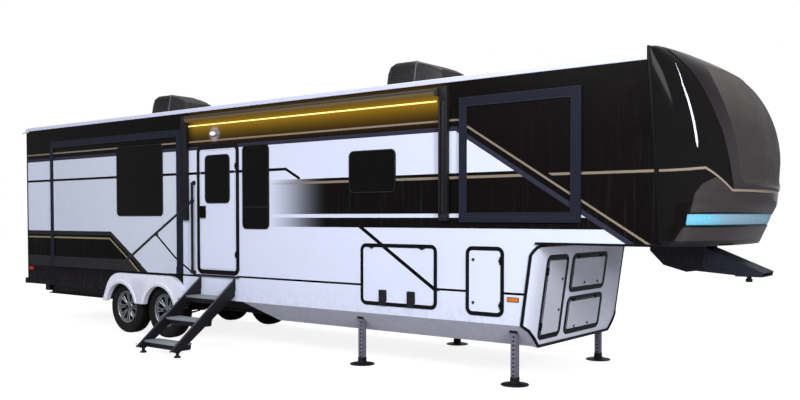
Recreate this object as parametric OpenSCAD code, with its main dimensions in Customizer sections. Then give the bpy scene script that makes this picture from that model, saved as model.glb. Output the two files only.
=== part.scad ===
// Fifth wheel travel trailer, standing on its landing legs and its wheels.
// X runs forward, Y to the left and Z up. The origin is on the kingpin's axis, at its lower end.
// Modules are drawn with X from the rear wall and Z from the ground, and at_pin() moves them.

/* [Body] */
// Width over the side walls
body_w = 2500; // [2400:10:2560]
// Length of the side walls along their top edge
wall_l = 12075; // [11950:5:12300]
// Height of the side walls' top edge above the ground
wall_top = 3556; // [3520:2:3600]
// Height of the side walls' bottom edge
wall_low = 705; // [690:1:720]
// Thickness of walls, doors, slide rooms and nose cap
wall_t = 50; // [40:1:60]
// How far the cap's seam leans forward for each metre down
seam_lean = 77; // [50:1:100]
// Thickness of the roof at its edge
roof_edge = 56; // [40:1:70]
// Rise of the roof from its edge to its middle
roof_crown = 45; // [20:1:70]
// How far the roof stands past the rear wall
roof_lip = 18; // [5:1:40]

/* [Floors] */
// Height of the main floor's underside
floor_z = 1030; // [1020:1:1040]
// Thickness of the floors
floor_t = 110; // [90:1:115]
// Height of the front deck's underside
deck_z = 1640; // [1620:1:1660]
// Length of the bay from the riser under the deck to the lower front wall
bay_l = 3540; // [3400:10:3700]
// Top of the storage floor
bay_z = 830; // [815:1:835]
// Thickness of the storage floor and of inner bulkheads
bay_t = 30; // [20:1:30]

/* [Lower front wall] */
// How far the deck reaches past the lower front wall
deck_over = 1335; // [1300:5:1370]
// Lean of the lower front wall in degrees
front_tilt = 8; // [5:0.5:10]
// How far the wall's flat middle stands ahead of its side edges
front_bow = 85; // [60:1:110]
// Width of the rounded strip at each side edge
bow_w = 250; // [200:5:255]

/* [Belly] */
// Height of the lowest panel under the front half
belly_z = 440; // [430:1:450]
// Distance of the lowest panel's edges from the side walls' faces
belly_in = 300; // [280:5:320]
// Place where the belly's rear end starts to drop
belly_back = 5960; // [5900:10:6050]
// Length of that sloped rear end
belly_drop = 470; // [400:10:520]
// Thickness of the skirts and of the belly panels
skirt_t = 20; // [12:1:25]

/* [Chassis] */
// Height of the main rails
rail_h = 300; // [280:1:300]
// Height of the rails' underside
rail_z = 500; // [490:1:500]
// Distance of each rail's web from the side wall's face
rail_in = 450; // [440:1:470]
// Width of a rail's flanges
flange_w = 130; // [110:1:140]
// Thickness of a rail's flanges
flange_t = 12; // [8:1:14]
// Thickness of a rail's web
web_t = 8; // [6:1:10]
// Distance of the rails' front ends from the lower front wall
rail_short = 1090; // [1050:5:1130]
// Width of the crossmembers
member_w = 60; // [40:1:80]
// Height of the rear bumper's square tube
bumper_h = 100; // [80:1:110]
// Height of the bumper's underside
bumper_z = 702; // [690:1:702]

/* [Running gear] */
// Radius of a tyre
tyre_r = 440; // [430:1:448]
// Width of a tyre
tyre_w = 245; // [220:1:250]
// Radius of a rim's flange
rim_r = 268; // [255:1:275]
// Width of a rim
rim_w = 190; // [170:1:200]
// Place of the rear axle
axle_x = 3030; // [3000:5:3060]
// Distance between the axles
axle_gap = 1028; // [1010:1:1045]
// Distance of a wheel's middle plane from the side wall's face
wheel_in = 160; // [155:1:165]
// Radius of the axle tubes
axle_r = 38; // [34:1:40]
// Radius of the spindles that the wheels turn on
spindle_r = 30; // [26:1:34]
// Number of spokes in a rim
spokes = 8; // [7:1:9]

/* [Fenders] */
// How far a fender stands out of the side wall
fender_out = 75; // [60:1:90]
// Thickness of a fender's shell
fender_t = 20; // [12:1:24]
// Height of a fender's top
fender_top = 1015; // [1008:1:1018]
// Height of a fender's lower edge
fender_low = 530; // [520:1:545]
// Radius of a fender's shoulders
fender_r = 400; // [340:5:430]
// Radius of a fender's wheel arch
arch_r = 400; // [390:1:410]

/* [Legs] */
// Width of a leg's square tube
leg_w = 76; // [70:1:84]
// Wall of the leg's tube
leg_t = 6; // [4:1:8]
// Radius of a leg's foot
foot_r = 165; // [140:1:175]
// Distance of a leg's middle from the side wall's face
leg_in = 125; // [120:1:140]
// Distance of the front legs from the lower front wall
leg_back = 280; // [270:5:320]
// Distance from the front legs to the middle legs
leg_gap = 2310; // [2280:5:2350]
// Spacing of the holes in a leg
hole_gap = 50; // [40:1:60]
// Radius of those holes
hole_r = 9; // [6:0.5:11]

/* [Nose cap] */
// Length of the cap, from the side walls' top corner to its foremost point
cap_l = 895; // [850:5:940]
// Height of that point
nose_z = 2550; // [2500:5:2600]
// Height of the cap's top above that point, were it a whole ellipse
nose_h = 1330; // [1310:5:1350]
// Length of that ellipse
nose_l = 1400; // [1350:5:1450]
// How square the cap is seen from above
nose_square = 2.3; // [2:0.1:2.8]
// Depth of the recess of the front lamp
lamp_in = 26; // [15:1:35]
// Height of the lower edge of that recess
lamp_low = 1855; // [1840:1:1870]
// Height of its upper edge
lamp_high = 1975; // [1960:1:1982]
// Distance of the recess's ends from the side walls' faces
lamp_end = 50; // [40:5:100]
// Height of the cap's rounded shoulder
shoulder_h = 90; // [60:5:140]
// Thickness of the front panel that lies on the cap
panel_t = 14; // [8:1:20]
// Depth of the field sunk into that panel
panel_sunk = 8; // [4:1:10]
// Height of the panel's lower edge
panel_z = 2250; // [2230:5:2280]

/* [Pin box] */
// How far the kingpin lies ahead of the side walls' top corner
pin_ahead = 665; // [640:5:690]
// Height of the kingpin's lower end above the ground
pin_z = 1233; // [1220:1:1245]
// Radius of the kingpin's head
pin_head_r = 35.7; // [35:0.1:36.5]
// Radius of the kingpin's neck
pin_neck_r = 25.4; // [25:0.1:26]
// Height of the kingpin's head
pin_head_h = 34; // [30:1:38]
// Height of the kingpin's neck
pin_neck_h = 34; // [30:1:38]
// Width of the pin box at its plates
pin_box_w = 420; // [380:5:460]

/* [Doors] */
// Gap around a door leaf
leaf_gap = 6; // [5:0.5:8]
// How far frames and leaves stand out of the wall
proud = 8; // [4:1:14]
// Width of a hatch's black frame
frame_w = 50; // [40:1:52]
// Distance of a hinge's axis from the leaf's face
hinge_out = 9; // [8:0.5:12]
// Distance of a hinge's axis from the leaf's edge
hinge_in = 4; // [3:0.5:5]
// Radius of a hinge's knuckles
hinge_r = 7; // [5:0.5:7.5]
// Radius of a hinge's pin
hinge_pin_r = 2.5; // [2:0.1:3]
// Length of a hinge's knuckle
knuckle_l = 30; // [24:1:40]
// Radius of a leaf's corners
leaf_r = 40; // [20:1:60]
// Lower rear corner of the entry door
door_x = 5022; // [5000:2:5050]
// Height of the entry door's foot
door_z = 1151; // [1146:1:1160]
// Width of the entry door
door_w = 809; // [780:1:830]
// Height of the entry door
door_h = 1812; // [1780:2:1840]
// Width of the entry door's frame
door_frame = 70; // [60:1:74]

/* [Slide rooms] */
// Depth of a slide room
slide_d = 950; // [900:5:1000]
// Height of the living slide rooms' lower edge
room_z = 1052; // [1045:1:1060]
// Distance of their upper edge below the side walls' top
room_down = 248; // [230:2:260]
// Height of the bedroom slide room's lower edge
bed_room_z = 1882; // [1870:2:1900]
// Distance of its upper edge below the side walls' top
bed_room_down = 204; // [190:2:220]
// Thickness of a slide room's outer flange
flange_out = 35; // [25:1:45]
// Width of a slide room's outer flange
flange_side = 115; // [100:1:125]
// Gap around a slide room in its wall
slide_gap = 12; // [8:1:16]
// Width of the runners under a slide room
runner_w = 60; // [40:2:90]
// Distance of the runners from the room's ends
runner_in = 300; // [150:10:400]
// How far a slide room's outer panel lies behind its flange
panel_in = 12; // [6:1:18]

/* [Glass] */
// Thickness of a window pane
pane_t = 10; // [6:1:14]
// How far a pane overlaps the edge of its opening
pane_lap = 28; // [20:1:35]
// Radius of a pane's corners
pane_r = 70; // [50:1:90]

/* [Steps] */
// How far the steps reach out from the side wall
step_out = 1180; // [1120:5:1240]
// Thickness of a stringer
stringer_t = 24; // [16:1:30]
// Depth of a stringer, straight down
stringer_h = 200; // [180:1:220]
// Depth of a tread
tread_d = 250; // [220:1:260]
// Thickness of a tread
tread_t = 32; // [24:1:40]
// Radius of the handrail's tube
rail_r = 14; // [11:0.5:17]

/* [Awning] */
// Radius of the awning's roller
roller_r = 52; // [45:1:56]
// Depth of an awning arm
arm_d = 62; // [50:1:70]
// Width of an awning arm
arm_w = 130; // [110:1:140]

/* [Hidden] */
$fn = 48;
half_w = body_w / 2;
front_top = wall_l - deck_over;
riser_x = front_top - bay_l;
rail_l = front_top - rail_short;
nose_x = wall_l + cap_l;
pin_x = wall_l + pin_ahead;
rail_y = half_w - rail_in;
wheel_y = half_w - wheel_in;
leg_y = half_w - leg_in;
lamp_y = half_w - lamp_end;
leg_front_x = front_top - leg_back;
leg_mid_x = leg_front_x - leg_gap;
floor_top = floor_z + floor_t;
deck_top = deck_z + floor_t;
wheel_z = tyre_r;
well_r = tyre_r + 60;
bead_r = rim_r - 14;
seat = 0.3;
eps = 1;
cap_steps = 24;
skirt_z = wall_low;
belly_y = half_w - belly_in;
front_axle_x = axle_x + axle_gap;
wheel_xs = [axle_x, front_axle_x];
leg_xs = [leg_mid_x, leg_front_x];

// Window panes in the walls: side (-1 right, 1 left), x, z, width, height
PANES = [
    [-1, 5984, 1776, 543, 1203],
    [-1, 8042, 2260, 763, 537],
    [1, 8042, 2260, 763, 537],
    [1, 9900, 2160, 560, 700],
];
// Slide rooms: side, x of the flange, z of the flange, its width, its height, foot of the room
ROOMS = [
    [-1, 856, room_z, 3750, wall_top - room_down - room_z],
    [-1, 9781, bed_room_z, 1561, wall_top - bed_room_down - bed_room_z],
    [1, 1350, room_z, 4600, wall_top - room_down - room_z],
];
// Windows in slide rooms: room, x, z, width, height
ROOM_PANES = [
    [0, 2911, 1967, 1225, 1139],
    [2, 1750, 1967, 1300, 900],
    [2, 4300, 2160, 900, 640],
];
// Hatches in the side walls: side, x, z, width, height of the leaf
HATCHES = [
    [-1, 8284, 862, 1112, 694],
    [-1, 9914, 838, 422, 714],
    [1, 8284, 862, 1112, 694],
];
// Places and widths of the doors in the lower front wall, between its rounded edges
tall_door_w = 450;
tall_door_y = -half_w + bow_w + 55;
wide_door_y = tall_door_y + tall_door_w + 195;
wide_door_w = half_w - bow_w - 410 - wide_door_y;
// Doors in the lower front wall: y, height along the wall above its foot, width, height of the leaf
FRONT_DOORS = [
    [tall_door_y, 140, tall_door_w, 900],
    [wide_door_y, 660, wide_door_w, 380],
    [wide_door_y, 140, wide_door_w, 370],
];

function seam_at(z) = wall_l + max(0, wall_top - z) * seam_lean / 1000;
function front_at(z) = front_top - (deck_z - z) * tan(front_tilt);

// Frame and shared shapes
module at_pin() translate([-pin_x, 0, -pin_z]) children();

// A drawing in X and Z, made a plate from y to y + t
module xz(y, t) translate([0, y + t, 0]) rotate([90, 0, 0]) linear_extrude(t) children();

// A drawing in Y and Z, made a plate from x to x + t
module yz(x, t) translate([x, 0, 0]) rotate([90, 0, 90]) linear_extrude(t) children();

// A drawing in X and Y, made a plate from z to z + t
module xy(z, t) translate([0, 0, z]) linear_extrude(t) children();

// Turns a shape drawn for the right-hand side to the given side
module on_side(s) if (s < 0) children(); else mirror([0, 1, 0]) children();

module both_sides() for (s = [-1, 1]) on_side(s) children();

// A box between two corners
module block(low, high) translate(low) cube(high - low);

// A rectangle with round corners
module round_rect(x, z, w, h, r) {
    translate([x + r, z]) square([w - 2 * r, h]);
    translate([x, z + r]) square([w, h - 2 * r]);
    for (i = [r, w - r], j = [r, h - r]) translate([x + i, z + j]) circle(r);
}

// A tube between two points
module tube(a, b, r) {
    d = b - a;
    translate(a) rotate([0, acos(d.z / norm(d)), atan2(d.y, d.x)]) cylinder(r = r, h = norm(d));
}

// Walls
module side_outline() polygon([
    [wall_t, wall_low], [front_at(wall_low), wall_low], [front_at(deck_z), deck_z],
    [seam_at(deck_z), deck_z], [seam_at(wall_top), wall_top], [wall_t, wall_top],
]);

module wheel_well() {
    for (x = wheel_xs) translate([x, wheel_z]) circle(well_r);
    translate([axle_x, wheel_z - well_r]) square([axle_gap, 2 * well_r]);
}

module pane_hole(p) round_rect(p[1] + pane_lap, p[2] + pane_lap, p[3] - 2 * pane_lap,
    p[4] - 2 * pane_lap, pane_r - pane_lap);

// Outline of the hole that a slide room passes through
module room_hole(r) translate([r[1] + flange_side - slide_gap, room_sill(r)])
    square([r[3] - 2 * flange_side + 2 * slide_gap, room_top(r) - room_sill(r) + slide_gap]);

// Heights of a slide room's sill, underside and roof
function room_sill(r) = r[2] < deck_z ? floor_top : r[2] + flange_side - slide_gap;
function room_base(r) = room_sill(r) + slide_gap;
function room_top(r) = r[2] + r[4] - flange_side;

module frame_hole(x, z, w, h, b) round_rect(x - b, z - b, w + 2 * b, h + 2 * b, leaf_r + b);

module side_wall(s) on_side(s) difference() {
    xz(-half_w, wall_t) difference() {
        side_outline();
        wheel_well();
        for (p = PANES) if (p[0] == s) pane_hole(p);
        for (r = ROOMS) if (r[0] == s) room_hole(r);
        for (h = HATCHES) if (h[0] == s) frame_hole(h[1], h[2], h[3], h[4], frame_w);
        if (s < 0) frame_hole(door_x, door_z, door_w, door_h, door_frame);
    }
}

module right_wall() at_pin() color("ghostwhite") side_wall(-1);

module left_wall() at_pin() color("ghostwhite") side_wall(1);

module rear_wall() at_pin() color("ghostwhite") yz(0, wall_t)
    translate([-half_w, wall_low]) square([body_w, wall_top - wall_low]);

module roof() at_pin() color("white") translate([-roof_lip, 0, 0]) {
    roof_r = (pow(half_w, 2) + pow(roof_crown, 2)) / (2 * roof_crown);
    top = wall_top + roof_edge + roof_crown;
    yz(0, seam_at(wall_top) + roof_lip) intersection() {
        translate([0, top - roof_r]) circle(roof_r, $fn = 360);
        translate([-half_w, wall_top]) square([body_w, roof_edge + roof_crown]);
    }
}

// Floors
module main_floor() at_pin() color("dimgray")
    block([wall_t, -half_w + wall_t, floor_z], [riser_x, half_w - wall_t, floor_top]);

module front_deck() at_pin() color("dimgray") {
    xz(-half_w + wall_t, body_w - 2 * wall_t) polygon([
        [riser_x + bay_t, deck_z], [seam_at(deck_z), deck_z],
        [seam_at(deck_top), deck_top], [riser_x + bay_t, deck_top],
    ]);
    block([riser_x, -half_w + wall_t, bay_z], [riser_x + bay_t, half_w - wall_t, deck_top]);
}

module storage_floor() at_pin() color("gray") {
    block([riser_x, -half_w + wall_t, bay_z - bay_t], [rail_l, half_w - wall_t, bay_z]);
    block([rail_l, -half_w + wall_t, bay_z - bay_t], [rail_l + bay_t, half_w - wall_t, deck_z]);
}

// Chassis
module rail_profile() {
    for (z = [0, rail_h - flange_t]) translate([-flange_w / 2, z]) square([flange_w, flange_t]);
    translate([-web_t / 2, 0]) square([web_t, rail_h]);
}

// Crossmembers: x, half of their length
function members() = concat(
    [for (x = [150, 1000, 1850, 4900, 5700, 6600]) [x, half_w - wall_t]],
    [for (x = [2750, 3500, 4250]) [x, rail_y + flange_w / 2]]
);

module chassis_frame() at_pin() color("midnightblue") {
    rail_top = rail_z + rail_h;
    for (y = [-rail_y, rail_y]) yz(wall_t, rail_l - wall_t) translate([y, rail_z]) rail_profile();
    for (m = members())
        block([m[0], -m[1], rail_top], [m[0] + member_w, m[1], floor_z]);
    // Ties between the rails
    for (x = [60, 2250, 4700, 6400, 9500])
        block([x, -rail_y, rail_z + 60], [x + member_w, rail_y, rail_top - 60]);
    // Carriers of the middle legs
    block([leg_mid_x - leg_w, -leg_y - leg_w / 2, rail_top - flange_t],
        [leg_mid_x + leg_w, leg_y + leg_w / 2, rail_top]);
    // Carriers of the front legs
    block([rail_l - 2 * leg_w, -leg_y - leg_w / 2, rail_top - leg_w],
        [rail_l, leg_y + leg_w / 2, rail_top]);
    both_sides() block([rail_l - eps, -leg_y - leg_w / 2, rail_top - leg_w],
        [leg_front_x + leg_w / 2, -leg_y + leg_w / 2, rail_top]);
    // Rear bumper
    block([-bumper_h, -half_w + 30, bumper_z], [0, half_w - 30, bumper_z + bumper_h]);
    for (y = [-rail_y, rail_y]) block([-bumper_h, y - 50, rail_z + 40], [wall_t + eps, y + 50, bumper_z]);
}

// Belly
module belly_side() polygon([
    [belly_back, skirt_z], [belly_back + belly_drop, belly_z],
    [front_at(belly_z), belly_z], [front_at(skirt_z), skirt_z],
]);

module belly_skirts() at_pin() color("ghostwhite") both_sides() difference() {
    intersection() {
        xz(-half_w, half_w) belly_side();
        yz(belly_back, front_top - belly_back) polygon([
            [-half_w, skirt_z], [-belly_y, belly_z], [-belly_y + skirt_t, belly_z],
            [-half_w + skirt_t, skirt_z],
        ]);
    }
    for (x = leg_xs) block([x - leg_w / 2 - 5, -leg_y - leg_w / 2 - 5, belly_z],
        [x + leg_w / 2 + 5, -leg_y + leg_w / 2 + 5, skirt_z + eps]);
}

// Place of the belly's sloped rear end at a height, and of the skirts' inner face
function slope_at(z) = belly_back + (skirt_z - z) * belly_drop / (skirt_z - belly_z);
function skirt_at(z) = belly_y - skirt_t - seat + (z - belly_z) * (half_w - belly_y) / (skirt_z - belly_z);

module belly_pan() at_pin() color("black") {
    inner = belly_y - skirt_t - seat;
    pan_top = belly_z + skirt_t;
    lean = 2 * skirt_t;
    rail_out = rail_y + flange_w / 2;
    // Lowest panel with the part of the slope under the rails
    xz(-inner, 2 * inner) polygon([
        [slope_at(belly_z), belly_z], [front_at(belly_z) - 2, belly_z],
        [front_at(belly_z) - 2, pan_top], [slope_at(pan_top) + lean, pan_top],
        [slope_at(rail_z) + lean, rail_z], [slope_at(rail_z), rail_z],
    ]);
    // Slope beside the rails
    both_sides() intersection() {
        xz(-half_w, half_w - rail_out) polygon([
            [slope_at(rail_z), rail_z], [slope_at(rail_z) + lean, rail_z],
            [slope_at(skirt_z) + lean, skirt_z], [slope_at(skirt_z), skirt_z],
        ]);
        yz(belly_back, 2 * belly_drop) polygon([
            [-rail_out, rail_z], [-skirt_at(rail_z), rail_z], [-skirt_at(skirt_z), skirt_z],
            [-rail_out, skirt_z],
        ]);
    }
    // Sheet under the rails
    block([60, -rail_out, rail_z - 8], [slope_at(rail_z - 8), rail_out, rail_z]);
}

// Lower front wall, drawn upright with its outer edge at x = 0 and its top at z = 0
module leaned() translate([front_top + seat, 0, deck_z]) rotate([0, front_tilt, 0]) children();

// Heights along the leaned wall
function along(z) = (z - deck_z) / cos(front_tilt);

function bow_points(steps) = [
    for (i = [0:steps]) [front_bow * sin(90 * i / steps), -half_w + bow_w * (1 - cos(90 * i / steps))],
    for (i = [steps:-1:0]) [front_bow * sin(90 * i / steps), half_w - bow_w * (1 - cos(90 * i / steps))],
];

module front_outline() polygon([
    [-half_w, 0], [half_w, 0], [half_w, along(skirt_z)], [belly_y, along(belly_z)],
    [-belly_y, along(belly_z)], [-half_w, along(skirt_z)],
]);

module front_frame_holes() for (d = FRONT_DOORS)
    translate([0, along(belly_z)]) frame_hole(d[0], d[1], d[2], d[3], frame_w);

module front_wall() at_pin() color("ghostwhite") difference() {
    leaned() difference() {
        intersection() {
            translate([0, 0, along(belly_z)]) linear_extrude(-along(belly_z)) polygon(bow_points(8));
            yz(-eps, front_bow + 2 * eps) front_outline();
        }
        yz(-eps, front_bow - wall_t + eps)
            translate([-half_w + bow_w, along(belly_z) + 40])
            square([body_w - 2 * bow_w, -along(belly_z) - 80]);
        yz(-2 * eps, front_bow + 4 * eps) front_frame_holes();
    }
    block([front_top - 400, -half_w, deck_z], [front_top + 400, half_w, deck_z + 200]);
}

// Nose cap
// Lower part of the cap's middle line: height, x behind the foremost point
NOSE_LOW = [[1640, -260], [1850, -150], [1985, -88], [2075, -38], [2250, -18], [2550, 0]];

function nose_at(z) = nose_x + (z < nose_z ? lookup(z * 2550 / nose_z, NOSE_LOW)
    : nose_l * (sqrt(1 - pow((z - nose_z) / nose_h, 2)) - 1));

// Height at which the upper part of the middle line reaches a place along the trailer
function cap_z_at(x) = nose_z + nose_h * sqrt(1 - pow(1 - (nose_x - x) / nose_l, 2));
function cap_top() = cap_z_at(wall_l);

// Heights of the cap's sections above its foremost point, evenly spaced in angle
function cap_row(t) = nose_z + (cap_top() - nose_z) * sin(t);

// Half of the cap's width at a height: full up to its shoulder, then rounded in
function cap_half(z) = let (f = max(0, 1 - (cap_top() - z) / shoulder_h))
    half_w * pow(1 - pow(min(f, 0.985), 2.4), 0.4);

// Place of the cap's rear edge, seated on the side walls
function cap_back(z) = seam_at(z) + seat;

// One point of the cap: height, angle across from -90 to 90, offset outwards
function cap_point(z, a, off) = let (e = 2 / nose_square, w = cap_half(z) + off,
    x0 = cap_back(z), d = nose_at(z) - x0 + off)
    [x0 + d * pow(abs(cos(a)), e), w * sign(a) * pow(abs(sin(a)), e), z];

// Faces of a stack of closed loops, n points each, m loops; from point f on, each quad is split the
// other way
function stack_faces(n, m, f) = concat(
    [[for (i = [0:n - 1]) i]],
    [for (k = [0:m - 2], i = [0:n - 1]) let (a = k * n + i, b = a + n, c = k * n + (i + 1) % n)
        i < f ? [a, b, c] : [a, b, c + n]],
    [for (k = [0:m - 2], i = [0:n - 1]) let (a = k * n + i, b = a + n, c = k * n + (i + 1) % n)
        i < f ? [c, b, c + n] : [a, c + n, c]],
    [[for (i = [n - 1:-1:0]) (m - 1) * n + i]]
);

// Heights of the cap's sections between two heights
function cap_levels(low, high) = concat([low],
    [for (z = [1700, 1780, 1850, 1985, 2075, panel_z, panel_z + 35, panel_z + 75, 2400])
        if (z > low && z < high) z],
    [for (t = [0:6:84]) let (z = cap_row(t)) if (z > low && z < high - 4) z],
    [high]);

// One level of the cap, carried back past the seam by a distance
function cap_loop(z, off, back) = let (
    y = cap_half(z) + off,
    x = cap_back(z) - back,
    curve = [for (i = [0:cap_steps]) cap_point(z, -90 + 180 * i / cap_steps, off)]
) back > 0 ? concat([[x, -y, z]], curve, [[x, y, z]]) : curve;

module cap_solid(low, high, off, back) {
    zs = cap_levels(low, high);
    n = cap_steps + (back > 0 ? 3 : 1);
    polyhedron([for (z = zs) each cap_loop(z, off, back)], stack_faces(n, len(zs), n));
}

// The lamp's band between two offsets from the cap's surface, drawn in at its edges by a gap
module lamp_band(gap, outer, inner) difference() {
    intersection() {
        cap_solid(lamp_low - 100, lamp_high + 100, outer, 0);
        block([seam_at(lamp_high), -lamp_y + gap, lamp_low + gap],
            [nose_x + 3 * lamp_in, lamp_y - gap, lamp_high - gap]);
    }
    cap_solid(lamp_low - 100, lamp_high + 100, inner, wall_t);
}

module front_cap() at_pin() color("black") difference() {
    cap_solid(deck_z, cap_z_at(wall_l + wall_t), 0, 0);
    // Space inside, closed behind above the walls
    difference() {
        cap_solid(deck_top, cap_z_at(wall_l + 3 * wall_t), -wall_t, wall_t);
        block([wall_l - 2 * wall_t, -half_w, wall_top - wall_t], [wall_l + wall_t, half_w, cap_top()]);
    }
    lamp_band(0, 2 * lamp_in, -lamp_in);
}

// Angles across the front panel, and its outer offset: a border round a sunken field
PANEL_ANGLES = [-45, -41, -37.5, -30, -22.5, -15, -7.5, 0, 7.5, 15, 22.5, 30, 37.5, 41, 45];
function panel_off(z, a) = panel_t
    - (abs(a) < 40 && z > panel_z + 60 && z < cap_row(50) ? panel_sunk : 0);

module cap_panel() at_pin() color("dimgray") {
    n = len(PANEL_ANGLES);
    zs = cap_levels(panel_z, cap_row(66));
    loops = [for (z = zs) each concat(
        [for (a = PANEL_ANGLES) cap_point(z, a, panel_off(z, a))],
        [for (i = [n - 1:-1:0]) cap_point(z, PANEL_ANGLES[i], 3 * seat)])];
    polyhedron(loops, stack_faces(2 * n, len(zs), n));
}

module cap_lamp() at_pin() color("skyblue")
    lamp_band(2, -6, -lamp_in + seat);

// Pin box with its kingpin; distances from the kingpin, positive forward
pin_foot = [-1040, -410];
pin_plate = [-90, 190];
arm_drop = [80, 240, 310, 295];

module pin_box() at_pin() color("midnightblue") {
    plate = 12;
    head_top = pin_z + pin_head_h + pin_neck_h;
    nose = [pin_x + pin_plate[1] + 10, head_top + plate + 37];
    foot = [pin_x + pin_foot[0], pin_x + pin_foot[1]];
    // Side plates, with the sloped arm that reaches forward to the kingpin
    for (y = [-pin_box_w / 2, pin_box_w / 2 - plate]) xz(y, plate) polygon([
        [foot[0], deck_z], [foot[0], deck_z - arm_drop[0]], [foot[0] + 160, deck_z - arm_drop[1]],
        [foot[0] + 420, deck_z - arm_drop[2]], [foot[0] + 530, deck_z - arm_drop[3]],
        [pin_x + pin_plate[0], head_top + plate], [pin_x + pin_plate[1], head_top + plate], nose,
        [foot[1], deck_z - 40], [foot[1], deck_z],
    ]);
    // Top, front and bottom plates
    block([foot[0], -pin_box_w / 2 - 40, deck_z - plate], [foot[1], pin_box_w / 2 + 40, deck_z]);
    xz(-pin_box_w / 2, pin_box_w) polygon([
        [foot[1], deck_z - 40], [foot[1], deck_z - 40 - plate], nose - [4, plate], nose,
    ]);
    block([pin_x + pin_plate[0], -pin_box_w / 2, head_top],
        [pin_x + pin_plate[1], pin_box_w / 2, head_top + plate]);
    translate([pin_x, 0, pin_z]) cylinder(r = pin_head_r, h = pin_head_h);
    translate([pin_x, 0, pin_z + pin_head_h - eps]) cylinder(r = pin_neck_r, h = pin_neck_h + 2 * eps);
}

// Windows
module pane(p, y) xz(y - pane_t, pane_t) round_rect(p[1], p[2], p[3], p[4], pane_r);

module window_panes() at_pin() color("black")
    for (p = PANES) on_side(p[0]) pane(p, -half_w);

// Doors, drawn with the leaf's lower left corner at the origin, seen from outside, Y inwards
module leaf(w, h, t) xz(-proud, t) round_rect(0, 0, w, h, leaf_r);

// Places of the knuckles along a hinge: the leaf's and the frame's
function knuckles(l) = [for (f = [0.14, 0.86]) l * f];

// Knuckles and straps of a hinge whose axis runs along Z at x = -hinge_in
module hinge_half(l, on_leaf) for (c = knuckles(l))
    translate([-hinge_in, -proud - hinge_out, c]) {
        for (z = on_leaf ? [-knuckle_l] : [-2 * knuckle_l, 0])
            translate([0, 0, z + seat / 2]) difference() {
                union() {
                    cylinder(r = hinge_r, h = knuckle_l - seat, $fn = 24);
                    translate([on_leaf ? 0 : -3 * hinge_r, 0, 0])
                        cube([3 * hinge_r, hinge_out, knuckle_l - seat]);
                }
                if (on_leaf) translate([0, 0, -eps])
                    cylinder(r = hinge_pin_r + 0.05, h = knuckle_l + 2 * eps, $fn = 24);
            }
        if (!on_leaf) translate([0, 0, -2 * knuckle_l + eps])
            cylinder(r = hinge_pin_r, h = 3 * knuckle_l - 2 * eps, $fn = 24);
    }

module frame_ring(x, z, w, h, b) xz(-proud, wall_t + proud) difference() {
    frame_hole(x, z, w, h, b - seat);
    frame_hole(x, z, w, h, leaf_gap);
}

// Turns a hinge from the leaf's left edge to another edge: "left", "right" or "top"
module hinge_edge(edge, w, h) {
    if (edge == "left") children();
    if (edge == "right") translate([w, 0, 0]) mirror([1, 0, 0]) children();
    if (edge == "top") translate([0, 0, h]) rotate([0, 90, 0]) children();
}

module door_leaf(w, h, t, edge) {
    leaf(w, h, t);
    hinge_edge(edge, w, h) hinge_half(edge == "top" ? w : h, true);
}

module door_frame(w, h, b, edge) {
    frame_ring(0, 0, w, h, b);
    hinge_edge(edge, w, h) hinge_half(edge == "top" ? w : h, false);
}

module at_hatch(i) on_side(HATCHES[i][0]) translate([HATCHES[i][1], -half_w, HATCHES[i][2]]) children();

module at_front_door(i) leaned()
    translate([front_bow, FRONT_DOORS[i][0], along(belly_z) + FRONT_DOORS[i][1]])
    rotate([0, 0, 90]) children();

module at_entry() translate([door_x, -half_w, door_z]) children();

HATCH_EDGES = ["top", "right", "top"];
FRONT_EDGES = ["left", "top", "top"];

module hatch(i) at_pin() color("ghostwhite") at_hatch(i)
    door_leaf(HATCHES[i][3], HATCHES[i][4], wall_t, HATCH_EDGES[i]);

module front_door(i) at_pin() color("ghostwhite") at_front_door(i)
    door_leaf(FRONT_DOORS[i][2], FRONT_DOORS[i][3], wall_t, FRONT_EDGES[i]);

module hatch_right_large() hatch(0);
module hatch_right_small() hatch(1);
module hatch_left() hatch(2);
module front_door_tall() front_door(0);
module front_door_upper() front_door(1);
module front_door_lower() front_door(2);

// Window in the entry door: x, z, width, height from the leaf's corner
DOOR_PANE = [0, 137, 1005, 543, 717];

module entry_door() at_pin() color("ghostwhite") at_entry() {
    difference() {
        door_leaf(door_w, door_h, wall_t, "right");
        xz(-2 * proud, 2 * wall_t) pane_hole(DOOR_PANE);
    }
    // Lock and its two handles
    translate([20, -proud - 26, 781]) cube([120, 26, 183]);
}

module entry_pane() at_pin() color("black") at_entry() pane(DOOR_PANE, -proud);

module door_frames() at_pin() color("black") {
    at_entry() door_frame(door_w, door_h, door_frame, "right");
    for (i = [0:2]) at_hatch(i) door_frame(HATCHES[i][3], HATCHES[i][4], frame_w, HATCH_EDGES[i]);
    for (i = [0:2]) at_front_door(i)
        door_frame(FRONT_DOORS[i][2], FRONT_DOORS[i][3], frame_w, FRONT_EDGES[i]);
}

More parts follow.
